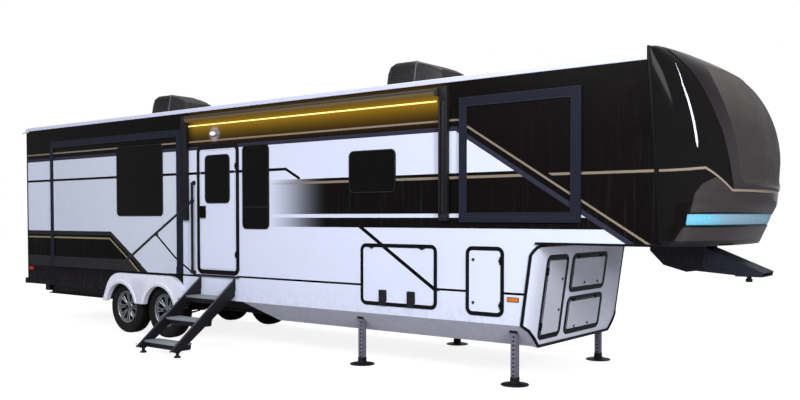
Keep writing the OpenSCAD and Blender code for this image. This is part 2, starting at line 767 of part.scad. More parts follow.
// Slide rooms, drawn pulled in
module slide_room(i) {
    r = ROOMS[i];
    x0 = r[1] + flange_side;
    x1 = r[1] + r[3] - flange_side;
    y0 = -half_w - seat - flange_out + panel_in;
    at_pin() color("ghostwhite") on_side(r[0]) difference() {
        union() {
            block([x0, y0, room_base(r)], [x1, -half_w + slide_d, room_top(r)]);
            xz(-half_w - seat - flange_out, flange_out) difference() {
                translate([r[1], r[2]]) square([r[3], r[4]]);
                translate([x0 + eps, r[2] + flange_side + eps])
                    square([x1 - x0 - 2 * eps, r[4] - 2 * flange_side - 2 * eps]);
            }
            // Runners that carry the room on its sill
            for (x = [x0 + runner_in, x1 - runner_in - runner_w])
                block([x, -half_w, room_sill(r) + seat], [x + runner_w, -half_w + slide_d, room_base(r) + eps]);
        }
        block([x0 + wall_t, y0 + wall_t, room_base(r) + wall_t],
            [x1 - wall_t, half_w, room_top(r) - wall_t]);
        for (p = ROOM_PANES) if (p[0] == i) xz(-2 * half_w, 2 * half_w) pane_hole(p);
    }
}

module slide_rear_right() slide_room(0);
module slide_front_right() slide_room(1);
module slide_left() slide_room(2);

module room_panes(i) at_pin() color("black") on_side(ROOMS[i][0])
    for (p = ROOM_PANES) if (p[0] == i) pane(p, -half_w - seat - flange_out + panel_in);

module slide_pane_right() room_panes(0);
module slide_panes_left() room_panes(2);

// Air conditioners: x of the rear end of each, their size, how far their flanks lean in
AIR_X = [2570, 7925];
air_l = 980;
air_w = 740;
air_h = 440;
air_lean = 65;
// Side outline of an air conditioner: share of its length, share of its height
AIR_OUTLINE = [[0, 0], [0.045, 0.92], [0.13, 1], [0.51, 0.975], [0.93, 0.62], [1, 0.16], [1, 0]];
// Roof vents: x of their middles, their width and height, radius of their corners
VENT_X = [5400, 10300];
vent_w = 420;
vent_h = 90;
vent_r = 40;

module on_roof(x) translate([x, 0, wall_top + roof_edge + roof_crown]) children();

module air_conditioners() at_pin() color("black") for (x = AIR_X) on_roof(x) intersection() {
    xz(-air_w / 2, air_w) polygon([for (p = AIR_OUTLINE) [p[0] * air_l, p[1] * air_h]]);
    yz(0, air_l) polygon([
        [-air_w / 2, 0], [-air_w / 2 + air_lean, air_h], [air_w / 2 - air_lean, air_h], [air_w / 2, 0],
    ]);
}

module roof_vents() at_pin() color("white") for (x = VENT_X)
    on_roof(x) xy(0, vent_h) round_rect(-vent_w / 2, -vent_w / 2, vent_w, vent_w, vent_r);

// Awning on the right wall: its ends, and heights of its roller, arms and light strip
awning_x0 = 4632;
awning_x1 = 9626;
roller_z = wall_top - 116;
arm_top = wall_top - 56;
arm_low = 1893;
strip_z = wall_top - 226;

module awning() at_pin() color("black") {
    y = -half_w - arm_d;
    for (x = [awning_x0, awning_x1 - arm_w]) block([x, y, arm_low], [x + arm_w, -half_w, arm_top]);
    translate([awning_x0 + arm_w, y, roller_z]) rotate([0, 90, 0])
        cylinder(r = roller_r, h = awning_x1 - awning_x0 - 2 * arm_w);
}

module awning_light() at_pin() color("gold")
    block([awning_x0 + arm_w, -half_w - 12, strip_z], [awning_x1 - arm_w - 60, -half_w, strip_z + 18]);

// Entry steps: their ends along the wall and the height of their top
step_x0 = 5016;
step_x1 = 5812;
step_top = 1040;
// Treads: number, place and height of the highest, going of one step and its rise
treads = 3;
tread_y = 295;
tread_z = 740;
going = 372;
rise = 295;
// Feet: distance from the stringers' outer ends, height of the stud, radii of stud and pad
foot_in = 130;
stud_h = 200;
stud_r = 9;
pad_r = 48;
// Depth of the plates that hold the steps to the wall
hanger_d = 10;

module stringer(x) yz(x, stringer_t) polygon([
    [-half_w - hanger_d, step_top], [-half_w - step_out, 95], [-half_w - step_out + 110, 70],
    [-half_w - hanger_d, step_top - stringer_h],
]);

module entry_steps() at_pin() color("black") {
    for (x = [step_x0, step_x1 - stringer_t]) {
        foot = [x + stringer_t / 2, -half_w - step_out + foot_in, 0];
        stringer(x);
        tube(foot + [0, 0, 6], foot + [0, 0, stud_h], stud_r);
        translate(foot) cylinder(r = pad_r, h = 12);
        block([x, -half_w - hanger_d, step_top - stringer_h + hanger_d],
            [x + stringer_t, -half_w, step_top]);
    }
    for (i = [0:treads - 1])
        translate([step_x0 + stringer_t - eps, -half_w - tread_y - going * i, tread_z - rise * i])
            cube([step_x1 - step_x0 - 2 * stringer_t + 2 * eps, tread_d, tread_t]);
}

// Handrail beside the steps and the grab bar on the wall: place, distance from the wall, ends of the
// bar, height of the handrail's upper end, its reach and the height of its lower end
grab_x = 4880;
grab_out = 45;
grab_z = [1060, 2500];
hand_z = [2190, 1290];
hand_out = 1265;

module handrails() at_pin() color("black") {
    y = -half_w - grab_out;
    brace = 0.55;
    tube([grab_x, y, grab_z[0]], [grab_x, y, grab_z[1]], rail_r);
    for (z = grab_z + [30, -30]) tube([grab_x, y, z], [grab_x, -half_w, z], rail_r);
    tube([grab_x, y, hand_z[0]], [grab_x, -half_w - hand_out, hand_z[1]], rail_r);
    tube([grab_x, y, grab_z[0] + 30], [grab_x, y - brace * (hand_out - grab_out),
        hand_z[0] - brace * (hand_z[0] - hand_z[1])], rail_r * 0.8);
}

// Fenders
// Place where a line from a point touches a circle, on its side s
function touch(p, c, r, s) = let (d = c - p, a = atan2(d.y, d.x) + s * asin(r / norm(d)))
    p + sqrt(d * d - r * r) * [cos(a), sin(a)];

// Outline of a fender, drawn in by a distance
module fender_outline(t) difference() {
    r = fender_r - t;
    z = fender_top - fender_r;
    rear = [axle_x - 20, z];
    front = [front_axle_x + 240, z];
    low_rear = [axle_x - 510 + t, fender_low];
    low_front = [front_axle_x + 632 - t, fender_low];
    union() {
        translate(rear) circle(r);
        translate(front) circle(r);
        polygon([
            low_rear, touch(low_rear, rear, r, 1), rear + [0, r], front + [0, r],
            touch(low_front, front, r, -1), low_front,
        ]);
    }
    for (x = wheel_xs) translate([x, wheel_z]) circle(arch_r + t);
    translate([axle_x, -t]) square([axle_gap, fender_low + 2 * t]);
    translate([0, -eps]) square([wall_l, fender_low + eps + t]);
}

module fenders() at_pin() color("white") both_sides() difference() {
    xz(-half_w - fender_out, fender_out) fender_outline(0);
    xz(-half_w - fender_out + fender_t, fender_out) fender_outline(fender_t);
}

// Running gear
module axles() at_pin() color("black") for (x = wheel_xs) translate([x, 0, wheel_z])
    rotate([90, 0, 0]) {
        cylinder(r = axle_r, h = 2 * (wheel_y - 120), center = true);
        for (s = [-1, 1]) translate([0, 0, s * (wheel_y - 90)]) cylinder(r = 165, h = 70, center = true);
        for (s = [-1, 1]) translate([0, 0, s * wheel_y]) cylinder(r = spindle_r, h = 240, center = true);
    }

module leaf_springs() at_pin() color("dimgray") both_sides() {
    spring_in = 1500 + axle_r + seat;
    spring_l = 430;
    for (x = wheel_xs) {
        for (k = [0:3]) xz(-rail_y - 35, 70) difference() {
            translate([x, wheel_z + 1500]) circle(spring_in + 9 * (k + 1), $fn = 180);
            translate([x, wheel_z + 1500]) circle(spring_in + 9 * k, $fn = 180);
            for (m = [-1, 1]) translate([x + m * (spring_l - 90 * k) - (m < 0 ? 3000 : 0), -3000])
                square([3000, 9000]);
            translate([x - 3000, wheel_z + axle_r + tyre_r / 2]) square([6000, 6000]);
        }
    }
    // Hangers at the springs' ends: x, half of the width
    for (h = [[axle_x - spring_l, 45], [axle_x + axle_gap / 2, axle_gap / 2 - spring_l + 45],
            [front_axle_x + spring_l, 45]])
        block([h[0] - h[1], -rail_y - 50, wheel_z + 10], [h[0] + h[1], -rail_y + 50, rail_z - 8]);
}

// One wheel, drawn upright on its own axis with the outer face towards -Y
module tyre() rotate([90, 0, 0]) rotate_extrude($fn = 72) polygon([
    [bead_r, -rim_w / 2], [rim_r + 14, -rim_w / 2 - 8], [rim_r + 70, -tyre_w / 2],
    [tyre_r - 75, -tyre_w / 2 + 4], [tyre_r - 26, -tyre_w / 2 + 16], [tyre_r - 6, -tyre_w / 2 + 38],
    [tyre_r, -40], [tyre_r, 40], [tyre_r - 6, tyre_w / 2 - 38], [tyre_r - 26, tyre_w / 2 - 16],
    [tyre_r - 75, tyre_w / 2 - 4], [rim_r + 70, tyre_w / 2], [rim_r + 14, rim_w / 2 + 8],
    [bead_r, rim_w / 2],
]);

module rim() rotate([90, 0, 0]) {
    rotate_extrude($fn = 72) polygon([
        [rim_r - 34, -rim_w / 2], [bead_r - seat, -rim_w / 2], [bead_r - seat, rim_w / 2],
        [rim_r - 34, rim_w / 2],
    ]);
    translate([0, 0, rim_w / 2 - 60]) difference() {
        cylinder(r = rim_r - 30, h = 34);
        for (i = [0:spokes - 1]) rotate([0, 0, 360 / spokes * i])
            linear_extrude(40) polygon([[78, -8], [rim_r - 44, -58], [rim_r - 44, 58], [78, 8]]);
        translate([0, 0, -eps]) cylinder(r = spindle_r + 0.05, h = 40);
    }
}

module wheel_at(x, s) at_pin() on_side(s) translate([x, -wheel_y, wheel_z]) children();

module tyre_rear_right() color("black") wheel_at(axle_x, -1) tyre();
module tyre_front_right() color("black") wheel_at(front_axle_x, -1) tyre();
module tyre_rear_left() color("black") wheel_at(axle_x, 1) tyre();
module tyre_front_left() color("black") wheel_at(front_axle_x, 1) tyre();
module rim_rear_right() color("gray") wheel_at(axle_x, -1) rim();
module rim_front_right() color("gray") wheel_at(front_axle_x, -1) rim();
module rim_rear_left() color("gray") wheel_at(axle_x, 1) rim();
module rim_front_left() color("gray") wheel_at(front_axle_x, 1) rim();

// Landing legs
module landing_legs() at_pin() color("dimgray") for (x = leg_xs) both_sides()
    translate([x, -leg_y, 0]) {
        cylinder(r = foot_r, h = 14);
        difference() {
            xy(10, rail_z + rail_h - leg_w - 10 + (x == leg_mid_x ? leg_w - flange_t : 0))
                square(leg_w, center = true);
            xy(20, rail_z + rail_h) square(leg_w - 2 * leg_t, center = true);
            for (z = [60:hole_gap:560]) translate([0, 0, z]) rotate([90, 0, 0])
                cylinder(r = hole_r, h = 2 * leg_w, center = true, $fn = 16);
        }
    }

// Lamps: x, z, length, height of those on each side wall
SIDE_LAMPS = [[front_top - 315, 970, 157, 59], [70, 970, 120, 60]];
lamp_out = 14;
// Rear lamps: distance from the side wall's face, z, width, height, thickness
REAR_LAMP = [120, 1060, 90, 360, 22];

module marker_lamps() at_pin() color("orange") both_sides() {
    for (l = SIDE_LAMPS)
        block([l[0], -half_w - lamp_out, l[1]], [l[0] + l[2], -half_w, l[1] + l[3]]);
    translate([-REAR_LAMP[4], -half_w + REAR_LAMP[0], REAR_LAMP[1]])
        cube([REAR_LAMP[4], REAR_LAMP[2], REAR_LAMP[3]]);
}

// Ladder on the rear wall: distance from the wall, y and ends of its rails, heights of its stays and rungs
ladder_out = 130;
ladder_y = [500, 900];
ladder_z = [900, 3500];
STAY_Z = [950, 2200, 3450];
rung_z = 1050;
rung_gap = 300;
// Radii of the ladder's rails, rungs and stays
ladder_r = [14, 12, 10];

module ladder() at_pin() color("silver") {
    for (y = ladder_y) {
        tube([-ladder_out, y, ladder_z[0]], [-ladder_out, y, ladder_z[1]], ladder_r[0]);
        for (z = STAY_Z) tube([-ladder_out, y, z], [0, y, z], ladder_r[2]);
    }
    for (z = [rung_z:rung_gap:ladder_z[1] - 50])
        tube([-ladder_out, ladder_y[0], z], [-ladder_out, ladder_y[1], z], ladder_r[1]);
}

chassis_frame();
pin_box();
belly_pan();
belly_skirts();
main_floor();
front_deck();
storage_floor();
right_wall();
left_wall();
rear_wall();
roof();
front_cap();
cap_panel();
cap_lamp();
front_wall();
window_panes();
air_conditioners();
roof_vents();
awning();
awning_light();
entry_door();
entry_pane();
door_frames();
entry_steps();
handrails();
fenders();
axles();
leaf_springs();
tyre_rear_right();
rim_rear_right();
tyre_front_right();
rim_front_right();
tyre_rear_left();
rim_rear_left();
tyre_front_left();
rim_front_left();
landing_legs();
slide_rear_right();
slide_front_right();
slide_left();
slide_pane_right();
slide_panes_left();
hatch_right_large();
hatch_right_small();
hatch_left();
front_door_tall();
front_door_upper();
front_door_lower();
marker_lamps();
ladder();
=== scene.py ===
"""Looks of the fifth wheel trailer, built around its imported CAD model.

Geometry is written in body coordinates, in metres: X forward from the rear wall, Y to the
left and Z up from the ground. PIN is the row frame's origin in those coordinates.
"""

import math
import random

import bmesh
import bpy
from mathutils import Matrix, Vector

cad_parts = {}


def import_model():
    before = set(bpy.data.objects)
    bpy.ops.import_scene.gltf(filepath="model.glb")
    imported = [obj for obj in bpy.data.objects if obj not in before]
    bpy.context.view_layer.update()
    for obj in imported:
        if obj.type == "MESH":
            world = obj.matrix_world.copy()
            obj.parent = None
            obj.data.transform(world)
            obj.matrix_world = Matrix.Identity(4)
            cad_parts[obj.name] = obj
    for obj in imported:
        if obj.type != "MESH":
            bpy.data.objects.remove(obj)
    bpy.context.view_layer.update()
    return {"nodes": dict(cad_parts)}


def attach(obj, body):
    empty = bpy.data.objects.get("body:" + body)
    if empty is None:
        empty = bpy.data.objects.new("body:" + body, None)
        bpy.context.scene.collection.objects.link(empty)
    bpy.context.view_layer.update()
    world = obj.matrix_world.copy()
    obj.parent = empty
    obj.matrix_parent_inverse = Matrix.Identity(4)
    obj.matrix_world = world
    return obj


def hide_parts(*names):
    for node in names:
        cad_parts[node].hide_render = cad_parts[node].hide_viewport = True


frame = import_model()
NODES = frame["nodes"]
PIN = Vector((12.740, 0.0, 1.233))

# Sizes of the CAD model that new pieces are set against
HALF = 1.250
FRONT_TOP, DECK_Z, TILT = 10.740, 1.640, math.radians(8)
FRONT_BOW, BELLY_Z, SKIRT_Z = 0.085, 0.440, 0.705
WALL_TOP, WALL_L, LEAN = 3.556, 12.075, 0.077
ROOF_EDGE, ROOF_CROWN = 0.056, 0.045
WHEEL_XS, WHEEL_Y, WHEEL_Z = (3.030, 4.058), 1.090, 0.440
PORCH = (5.360, 3.196)

# Colours of the finish, as 8-bit sRGB
WHITE = (209, 215, 237)
ROOM_WHITE = (199, 206, 223)
BLACK = (13, 11, 10)
NAVY = (46, 46, 62)
FRAME_NAVY = (32, 34, 47)
CHARCOAL = (52, 49, 50)
TAN = (132, 119, 106)
GOLD = (142, 133, 98)
STRIPE = (206, 213, 234)


def srgb(r, g, b):
    """Linear colour of 8-bit sRGB values."""

    def linear(v):
        v /= 255
        return v / 12.92 if v <= 0.04045 else ((v + 0.055) / 1.055) ** 2.4

    return (linear(r), linear(g), linear(b), 1.0)


class Num:
    """A number in a node tree, so that masks read as sums. Masks are 0 or 1."""

    def __init__(self, look, value):
        self.look, self.value = look, value

    def op(self, name, *others, clamp=False):
        n = self.look.node("ShaderNodeMath", operation=name, use_clamp=clamp)
        for i, a in enumerate((self, *others)):
            self.look.feed(n.inputs[i], a)
        return Num(self.look, n.outputs[0])

    def __add__(self, o):
        return self.op("ADD", o)

    def __sub__(self, o):
        return self.op("SUBTRACT", o)

    def __mul__(self, o):
        return self.op("MULTIPLY", o)

    def __truediv__(self, o):
        return self.op("DIVIDE", o)

    def __pow__(self, o):
        return self.op("POWER", o)

    def __and__(self, o):
        return self.op("MULTIPLY", o)

    def __or__(self, o):
        return self.op("MAXIMUM", o)

    def gt(self, o):
        return self.op("GREATER_THAN", o)

    def lt(self, o):
        return self.op("LESS_THAN", o)

    def min(self, o):
        return self.op("MINIMUM", o)

    def max(self, o):
        return self.op("MAXIMUM", o)

    def abs(self):
        return self.op("ABSOLUTE")

    def between(self, low, high):
        return self.gt(low) & self.lt(high)

    def near(self, middle, half):
        return (self - middle).abs().lt(half)

    def ramp(self, low, high, out_low=0.0, out_high=1.0, smooth=False):
        n = self.look.node("ShaderNodeMapRange", clamp=True)
        n.interpolation_type = "SMOOTHSTEP" if smooth else "LINEAR"
        self.look.feed(n.inputs["Value"], self)
        for key, v in zip(("From Min", "From Max", "To Min", "To Max"), (low, high, out_low, out_high)):
            n.inputs[key].default_value = v
        return Num(self.look, n.outputs["Result"])


class Look:
    """A procedural material. Its coordinates are the body coordinates."""

    def __init__(self, name, colour, rough=0.4, metal=0.0, specular=0.5, coat=0.0, coat_rough=0.08):
        self.mat = bpy.data.materials.new(name)
        self.mat.use_nodes = True
        self.tree = self.mat.node_tree
        self.bsdf = self.tree.nodes["Principled BSDF"]
        self.rough = rough
        self.set("Roughness", rough)
        self.set("Metallic", metal)
        self.set("Specular IOR Level", specular)
        if coat:
            self.set("Coat Weight", coat)
            self.set("Coat Roughness", coat_rough)
        self.colour = srgb(*colour)
        self.normal = None
        coords = self.node("ShaderNodeTexCoord")
        shift = self.node("ShaderNodeVectorMath", operation="ADD")
        self.tree.links.new(coords.outputs["Object"], shift.inputs[0])
        shift.inputs[1].default_value = PIN
        self.point = shift.outputs[0]
        split = self.node("ShaderNodeSeparateXYZ")
        self.tree.links.new(self.point, split.inputs[0])
        self.x, self.y, self.z = (Num(self, s) for s in split.outputs)

    def node(self, kind, **values):
        n = self.tree.nodes.new(kind)
        for key, v in values.items():
            setattr(n, key, v)
        return n

    def feed(self, socket, v):
        v = v.value if isinstance(v, Num) else v
        if isinstance(v, bpy.types.NodeSocket):
            self.tree.links.new(v, socket)
        else:
            socket.default_value = v

    def set(self, name, v):
        self.bsdf.inputs[name].default_value = v

    def mix(self, mask, a, b, blend="MIX"):
        n = self.node("ShaderNodeMix", data_type="RGBA", blend_type=blend)
        self.feed(n.inputs[0], mask)
        self.feed(n.inputs[6], a)
        self.feed(n.inputs[7], b)
        return n.outputs[2]

    def paint(self, mask, colour):
        """Puts a colour where the mask is 1."""
        self.colour = self.mix(mask, self.colour, srgb(*colour))

    def noise(self, scale, detail=2.0, rough=0.5, stretch=None, distort=0.0):
        n = self.node("ShaderNodeTexNoise")
        n.inputs["Scale"].default_value = scale
        n.inputs["Detail"].default_value = detail
        n.inputs["Roughness"].default_value = rough
        n.inputs["Distortion"].default_value = distort
        point = self.point
        if stretch:
            m = self.node("ShaderNodeVectorMath", operation="MULTIPLY")
            self.tree.links.new(point, m.inputs[0])
            m.inputs[1].default_value = stretch
            point = m.outputs[0]
        self.tree.links.new(point, n.inputs["Vector"])
        return Num(self, n.outputs["Fac"])

    def cells(self, scale, feature="F1", stretch=(1, 1, 1)):
        n = self.node("ShaderNodeTexVoronoi", feature=feature)
        n.inputs["Scale"].default_value = scale
        m = self.node("ShaderNodeVectorMath", operation="MULTIPLY")
        self.tree.links.new(self.point, m.inputs[0])
        m.inputs[1].default_value = stretch
        self.tree.links.new(m.outputs[0], n.inputs["Vector"])
        return Num(self, n.outputs["Distance"])

    def shade(self, number, low, high):
        """Multiplies the colour by low to high as the number goes from 0 to 1."""
        f = number.ramp(0.25, 0.75, low, high)
        grey = self.node("ShaderNodeCombineColor")
        for i in range(3):
            self.feed(grey.inputs[i], f)
        self.colour = self.mix(1.0, self.colour, grey.outputs[0], "MULTIPLY")

    def dirt_and_shade(self, mask, colour, amount):
        """Lets a thin film of another colour show through where the mask is above 0; used for dirt and stains, and on
        the fender for painted shade.
        """
        self.colour = self.mix(mask * amount, self.colour, srgb(*colour))

    def roughen(self, number, low, high):
        """Roughness from low to high as the number goes from 0 to 1."""
        self.feed(self.bsdf.inputs["Roughness"], number.ramp(0.25, 0.75, low, high))

    def bump(self, height, distance, strength=1.0):
        n = self.node("ShaderNodeBump")
        n.inputs["Strength"].default_value = strength
        n.inputs["Distance"].default_value = distance
        self.feed(n.inputs["Height"], height)
        if self.normal is not None:
            self.tree.links.new(self.normal, n.inputs["Normal"])
        self.normal = n.outputs[0]

    def glow(self, colour, strength):
        self.feed(self.bsdf.inputs["Emission Color"], colour)
        self.set("Emission Strength", strength)

    def done(self):
        self.feed(self.bsdf.inputs["Base Color"], self.colour)
        if self.normal is not None:
            self.tree.links.new(self.normal, self.bsdf.inputs["Normal"])
        return self.mat


# Meshes


class Piece:
    """A mesh under construction from closed forms, in body coordinates."""

    def __init__(self):
        self.verts, self.faces = [], []

    def add(self, verts, faces, place=None):
        n = len(self.verts)
        self.verts += [place @ Vector(v) if place else Vector(v) for v in verts]
        self.faces += [[n + i for i in f] for f in faces]

    def add_bm(self, bm, place=None):
        bm.verts.index_update()
        self.add([v.co.copy() for v in bm.verts], [[v.index for v in f.verts] for f in bm.faces], place)
        bm.free()

    def box(self, low, high, r=0.003, seg=2, place=None):
        """A box with rounded edges between two corners."""
        bm = bmesh.new()
        bmesh.ops.create_cube(bm, size=1.0)
        for v in bm.verts:
            v.co = [a + (c + 0.5) * (b - a) for a, b, c in zip(low, high, v.co)]
        if r:
            bmesh.ops.bevel(bm, geom=bm.edges[:], offset=r, segments=seg, profile=0.5, affect="EDGES")
        self.add_bm(bm, place)

    def prism(self, outline, low, high, axis="y", r=0.0, seg=2, place=None):
        """An outline drawn across an axis, made solid from low to high with rounded edges."""
        order = {"x": (2, 0, 1), "y": (0, 2, 1), "z": (0, 1, 2)}[axis]

        def point(u, v, w):
            p = (u, v, w)
            return [p[order[i]] for i in range(3)]

        bm = bmesh.new()
        ends = [[bm.verts.new(point(u, v, w)) for u, v in outline] for w in (low, high)]
        bm.faces.new(ends[0])
        bm.faces.new(list(reversed(ends[1])))
        n = len(outline)
        for i in range(n):
            bm.faces.new([ends[0][i], ends[1][i], ends[1][(i + 1) % n], ends[0][(i + 1) % n]])
        if r:
            rims = [e for e in bm.edges if (e.verts[0] in ends[0]) == (e.verts[1] in ends[0])]
            bmesh.ops.bevel(bm, geom=rims, offset=r, segments=seg, profile=0.5, affect="EDGES")
        self.add_bm(bm, place)

    def loft(self, loops, closed=False, caps=True, place=None):
        """Skin over equally long closed loops; closed joins the last loop to the first."""
        n, m = len(loops[0]), len(loops)
        faces = []
        for k in range(m if closed else m - 1):
            for i in range(n):
                a, b = k * n + i, k * n + (i + 1) % n
                c, d = (k + 1) % m * n + (i + 1) % n, (k + 1) % m * n + i
                faces.append([a, b, c, d])
        if caps and not closed:
            faces += [list(range(n))[::-1], [(m - 1) * n + i for i in range(n)]]
        self.add([p for loop in loops for p in loop], faces, place)

    def lathe(self, profile, sides=48, place=None, closed=True):
        """A closed profile of (radius, height) turned about the local Z axis."""
        loops = [
            [(r * math.cos(t), r * math.sin(t), h) for r, h in profile]
            for t in (2 * math.pi * k / sides for k in range(sides))
        ]
        self.loft(loops, closed=True, place=place)

    def tube(self, points, radius, sides=12, closed=False, squash=1.0):
        """A round bar along points, or an oval one where squash isn't 1."""
        pts = [Vector(p) for p in points]
        n = len(pts)
        loops, up = [], None
        for i, p in enumerate(pts):
            before, after = pts[i - 1] if i or closed else p, pts[(i + 1) % n] if i < n - 1 or closed else p
            t = (after - before).normalized()
            if up is None:
                up = Vector((0, 0, 1)) if abs(t.z) < 0.9 else Vector((0, 1, 0))
            side = t.cross(up).normalized()
            up = side.cross(t).normalized()
            # A mitre keeps the bar's thickness at a bend
            bend = 1.0
            if 0 < i < n - 1 or closed:
                c = (p - before).normalized().dot((after - p).normalized()) if after != before else 1.0
                bend = 1.0 / max(0.5, math.sqrt(max(0.0, (1 + c) / 2)))
            loops.append([
                p + side * (radius * bend * math.cos(a)) + up * (radius * squash * math.sin(a))
                for a in (2 * math.pi * k / sides for k in range(sides))
            ])
        self.loft(loops, closed=closed)

    def frame(self, rect, section, to3d, place=None):
        """A section of (offset outwards, height) carried round a rounded rectangle x, z, w, h, r."""
        x, z, w, h, r = rect
        loops = []
        for off, out in section:
            outline = rounded(x - off, z - off, w + 2 * off, h + 2 * off, max(0.002, r + off))
            loops.append([to3d(u, v, out) for u, v in outline])
        self.loft(loops, closed=True, place=place)

    def plate(self, rect, low, high, to3d, r=0.003):
        """A rounded plate from one height to another over a surface."""
        x, z, w, h, corner = rect
        rows = ((0.0, low), (0.0, high - r), (-r * 0.3, high - r * 0.3), (-r, high))
        loops = []
        for off, out in rows:
            outline = rounded(x - off, z - off, w + 2 * off, h + 2 * off, max(0.001, corner + off))
            loops.append([to3d(u, v, out) for u, v in outline])
        self.loft(loops)

    def make(self, name, mat, slot, body="trailer", replaces=(), sharp=32.0):
        mesh = bpy.data.meshes.new(name)
        mesh.from_pydata([v - PIN for v in self.verts], [], self.faces)
        bm = bmesh.new()
        bm.from_mesh(mesh)
        bmesh.ops.recalc_face_normals(bm, faces=bm.faces[:])
        bm.to_mesh(mesh)
        bm.free()
        for p in mesh.polygons:
            p.use_smooth = True
        mesh.set_sharp_from_angle(angle=math.radians(sharp))
        mesh.materials.append(mat)
        ob = bpy.data.objects.new(name, mesh)
        bpy.context.scene.collection.objects.link(ob)
        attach(ob, body)
        if replaces:
            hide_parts(*replaces)
        return ob


def rounded(x, z, w, h, r, n=5):
    """Outline of a rounded rectangle, the same number of points whatever its radius."""
    pts = []
    for cx, cz, start in ((x + w - r, z + r, -90), (x + w - r, z + h - r, 0),
                          (x + r, z + h - r, 90), (x + r, z + r, 180)):
        for k in range(n + 1):
            a = math.radians(start + 90 * k / n)
            pts.append((cx + r * math.cos(a), cz + r * math.sin(a)))
    return pts


def on_side(s):
    """Places a point of a side wall's outer face: along, up, outwards."""
    return lambda u, v, out: Vector((u, s * (HALF + out), v))


def on_rear(u, v, out):
    return Vector((-out, u, v))


def on_front(u, v, out):
    """A point of the leaned front wall: across, height along it above its foot, outwards."""
    c, s = math.cos(TILT), math.sin(TILT)
    x, z = FRONT_BOW + out, (BELLY_Z - DECK_Z) / c + v
    return Vector((FRONT_TOP + x * c + z * s, u, DECK_Z - x * s + z * c))


RIGHT, LEFT = on_side(-1), on_side(1)
BEAD = ((-0.011, -0.002), (-0.011, 0.004), (-0.007, 0.008), (0.0, 0.0095), (0.007, 0.008), (0.011, 0.004), (0.011, -0.002))


# Materials that several pieces share


def plain(name, colour, rough=0.4, vary=0.05, scale=6.0, grain=0.0, grain_scale=400.0, **kw):
    """A painted or moulded surface with uneven colour and gloss and a fine grain."""
    k = Look(name, colour, rough, **kw)
    broad = k.noise(scale, 4.0, 0.6)
    k.shade(broad, 1 - vary, 1 + vary)
    k.roughen(k.noise(scale * 2.7, 3.0, 0.6), max(0.02, rough * 0.8), min(1.0, rough * 1.25))
    if grain:
        k.bump(k.noise(grain_scale, 2.0, 0.5), grain)
    return k


def livery(k, x, z, front_tan=True):
    """The trailer's stripes, by distance from the rear wall and height above the ground."""
    # Thin line along the upper wall, with its short slope
    line = x.lt(6.864) & z.between(2.593, 2.633)
    slope = x.between(6.86, 7.14) & z.gt(2.466) & (z - (x - 6.864) * -0.521).near(2.613, 0.0225)
    k.paint(line | slope, BLACK)
    # Middle band, fading in from the rear
    fade = ((x.ramp(6.44, 7.66) ** 1.4) * -1.0 + 1.0) ** 2.2 * -1.0 + 1.0
    rise = x.gt(6.44)
    band = z.between(1.809, 2.466) & rise
    start = k.mix(x.ramp(6.45, 7.2), srgb(96, 102, 130), srgb(*BLACK))
    k.colour = k.mix(band & fade, k.colour, start)
    k.colour = k.mix(z.between(1.936, 1.985) & rise, k.colour, srgb(*STRIPE))
    k.colour = k.mix(z.between(2.397, 2.428) & rise & fade, k.colour, srgb(*TAN))
    # Upper strip and the dark front with its sloping edge
    edge = (z - (x - 9.746) * -0.6118 - 3.097) * 0.853
    d = (z - 3.097).max(edge) + 0.130
    k.paint(d.gt(0.0), NAVY)
    k.paint(d.gt(0.055), BLACK)
    k.paint(d.between(0.118, 0.142), TAN)
    if front_tan:
        k.paint((edge + 0.13).gt(0.19) & z.between(2.400, 2.428), TAN)
    # Lower rear graphic with its sloping end
    high = z * -1.0 + 1.702
    e = high.min((high * 1.591 + 2.710 - x) * 0.532)
    lower = z.gt(1.055)
    k.paint(e.gt(0.0) & lower, (40, 38, 46))
    k.paint(e.gt(0.066) & lower, BLACK)
    k.paint(e.between(0.107, 0.133) & lower, GOLD)
    k.paint(e.gt(0.14) & z.between(1.055, 1.240), (44, 43, 46))
    # Skirt under the rear and the line over it
    k.paint(z.lt(1.055) & x.lt(4.60), (22, 19, 22))
    k.paint(z.between(1.029, 1.058) & x.between(4.3, 5.0), BLACK)
    k.paint(z.between(1.054, 1.082) & x.gt(5.85), BLACK)
    # Line that runs down over the wall and the large hatch
    k.paint((z - (x - 8.268) * -0.634).near(1.790, 0.029) & z.between(1.045, 1.812) & x.gt(8.0), BLACK)


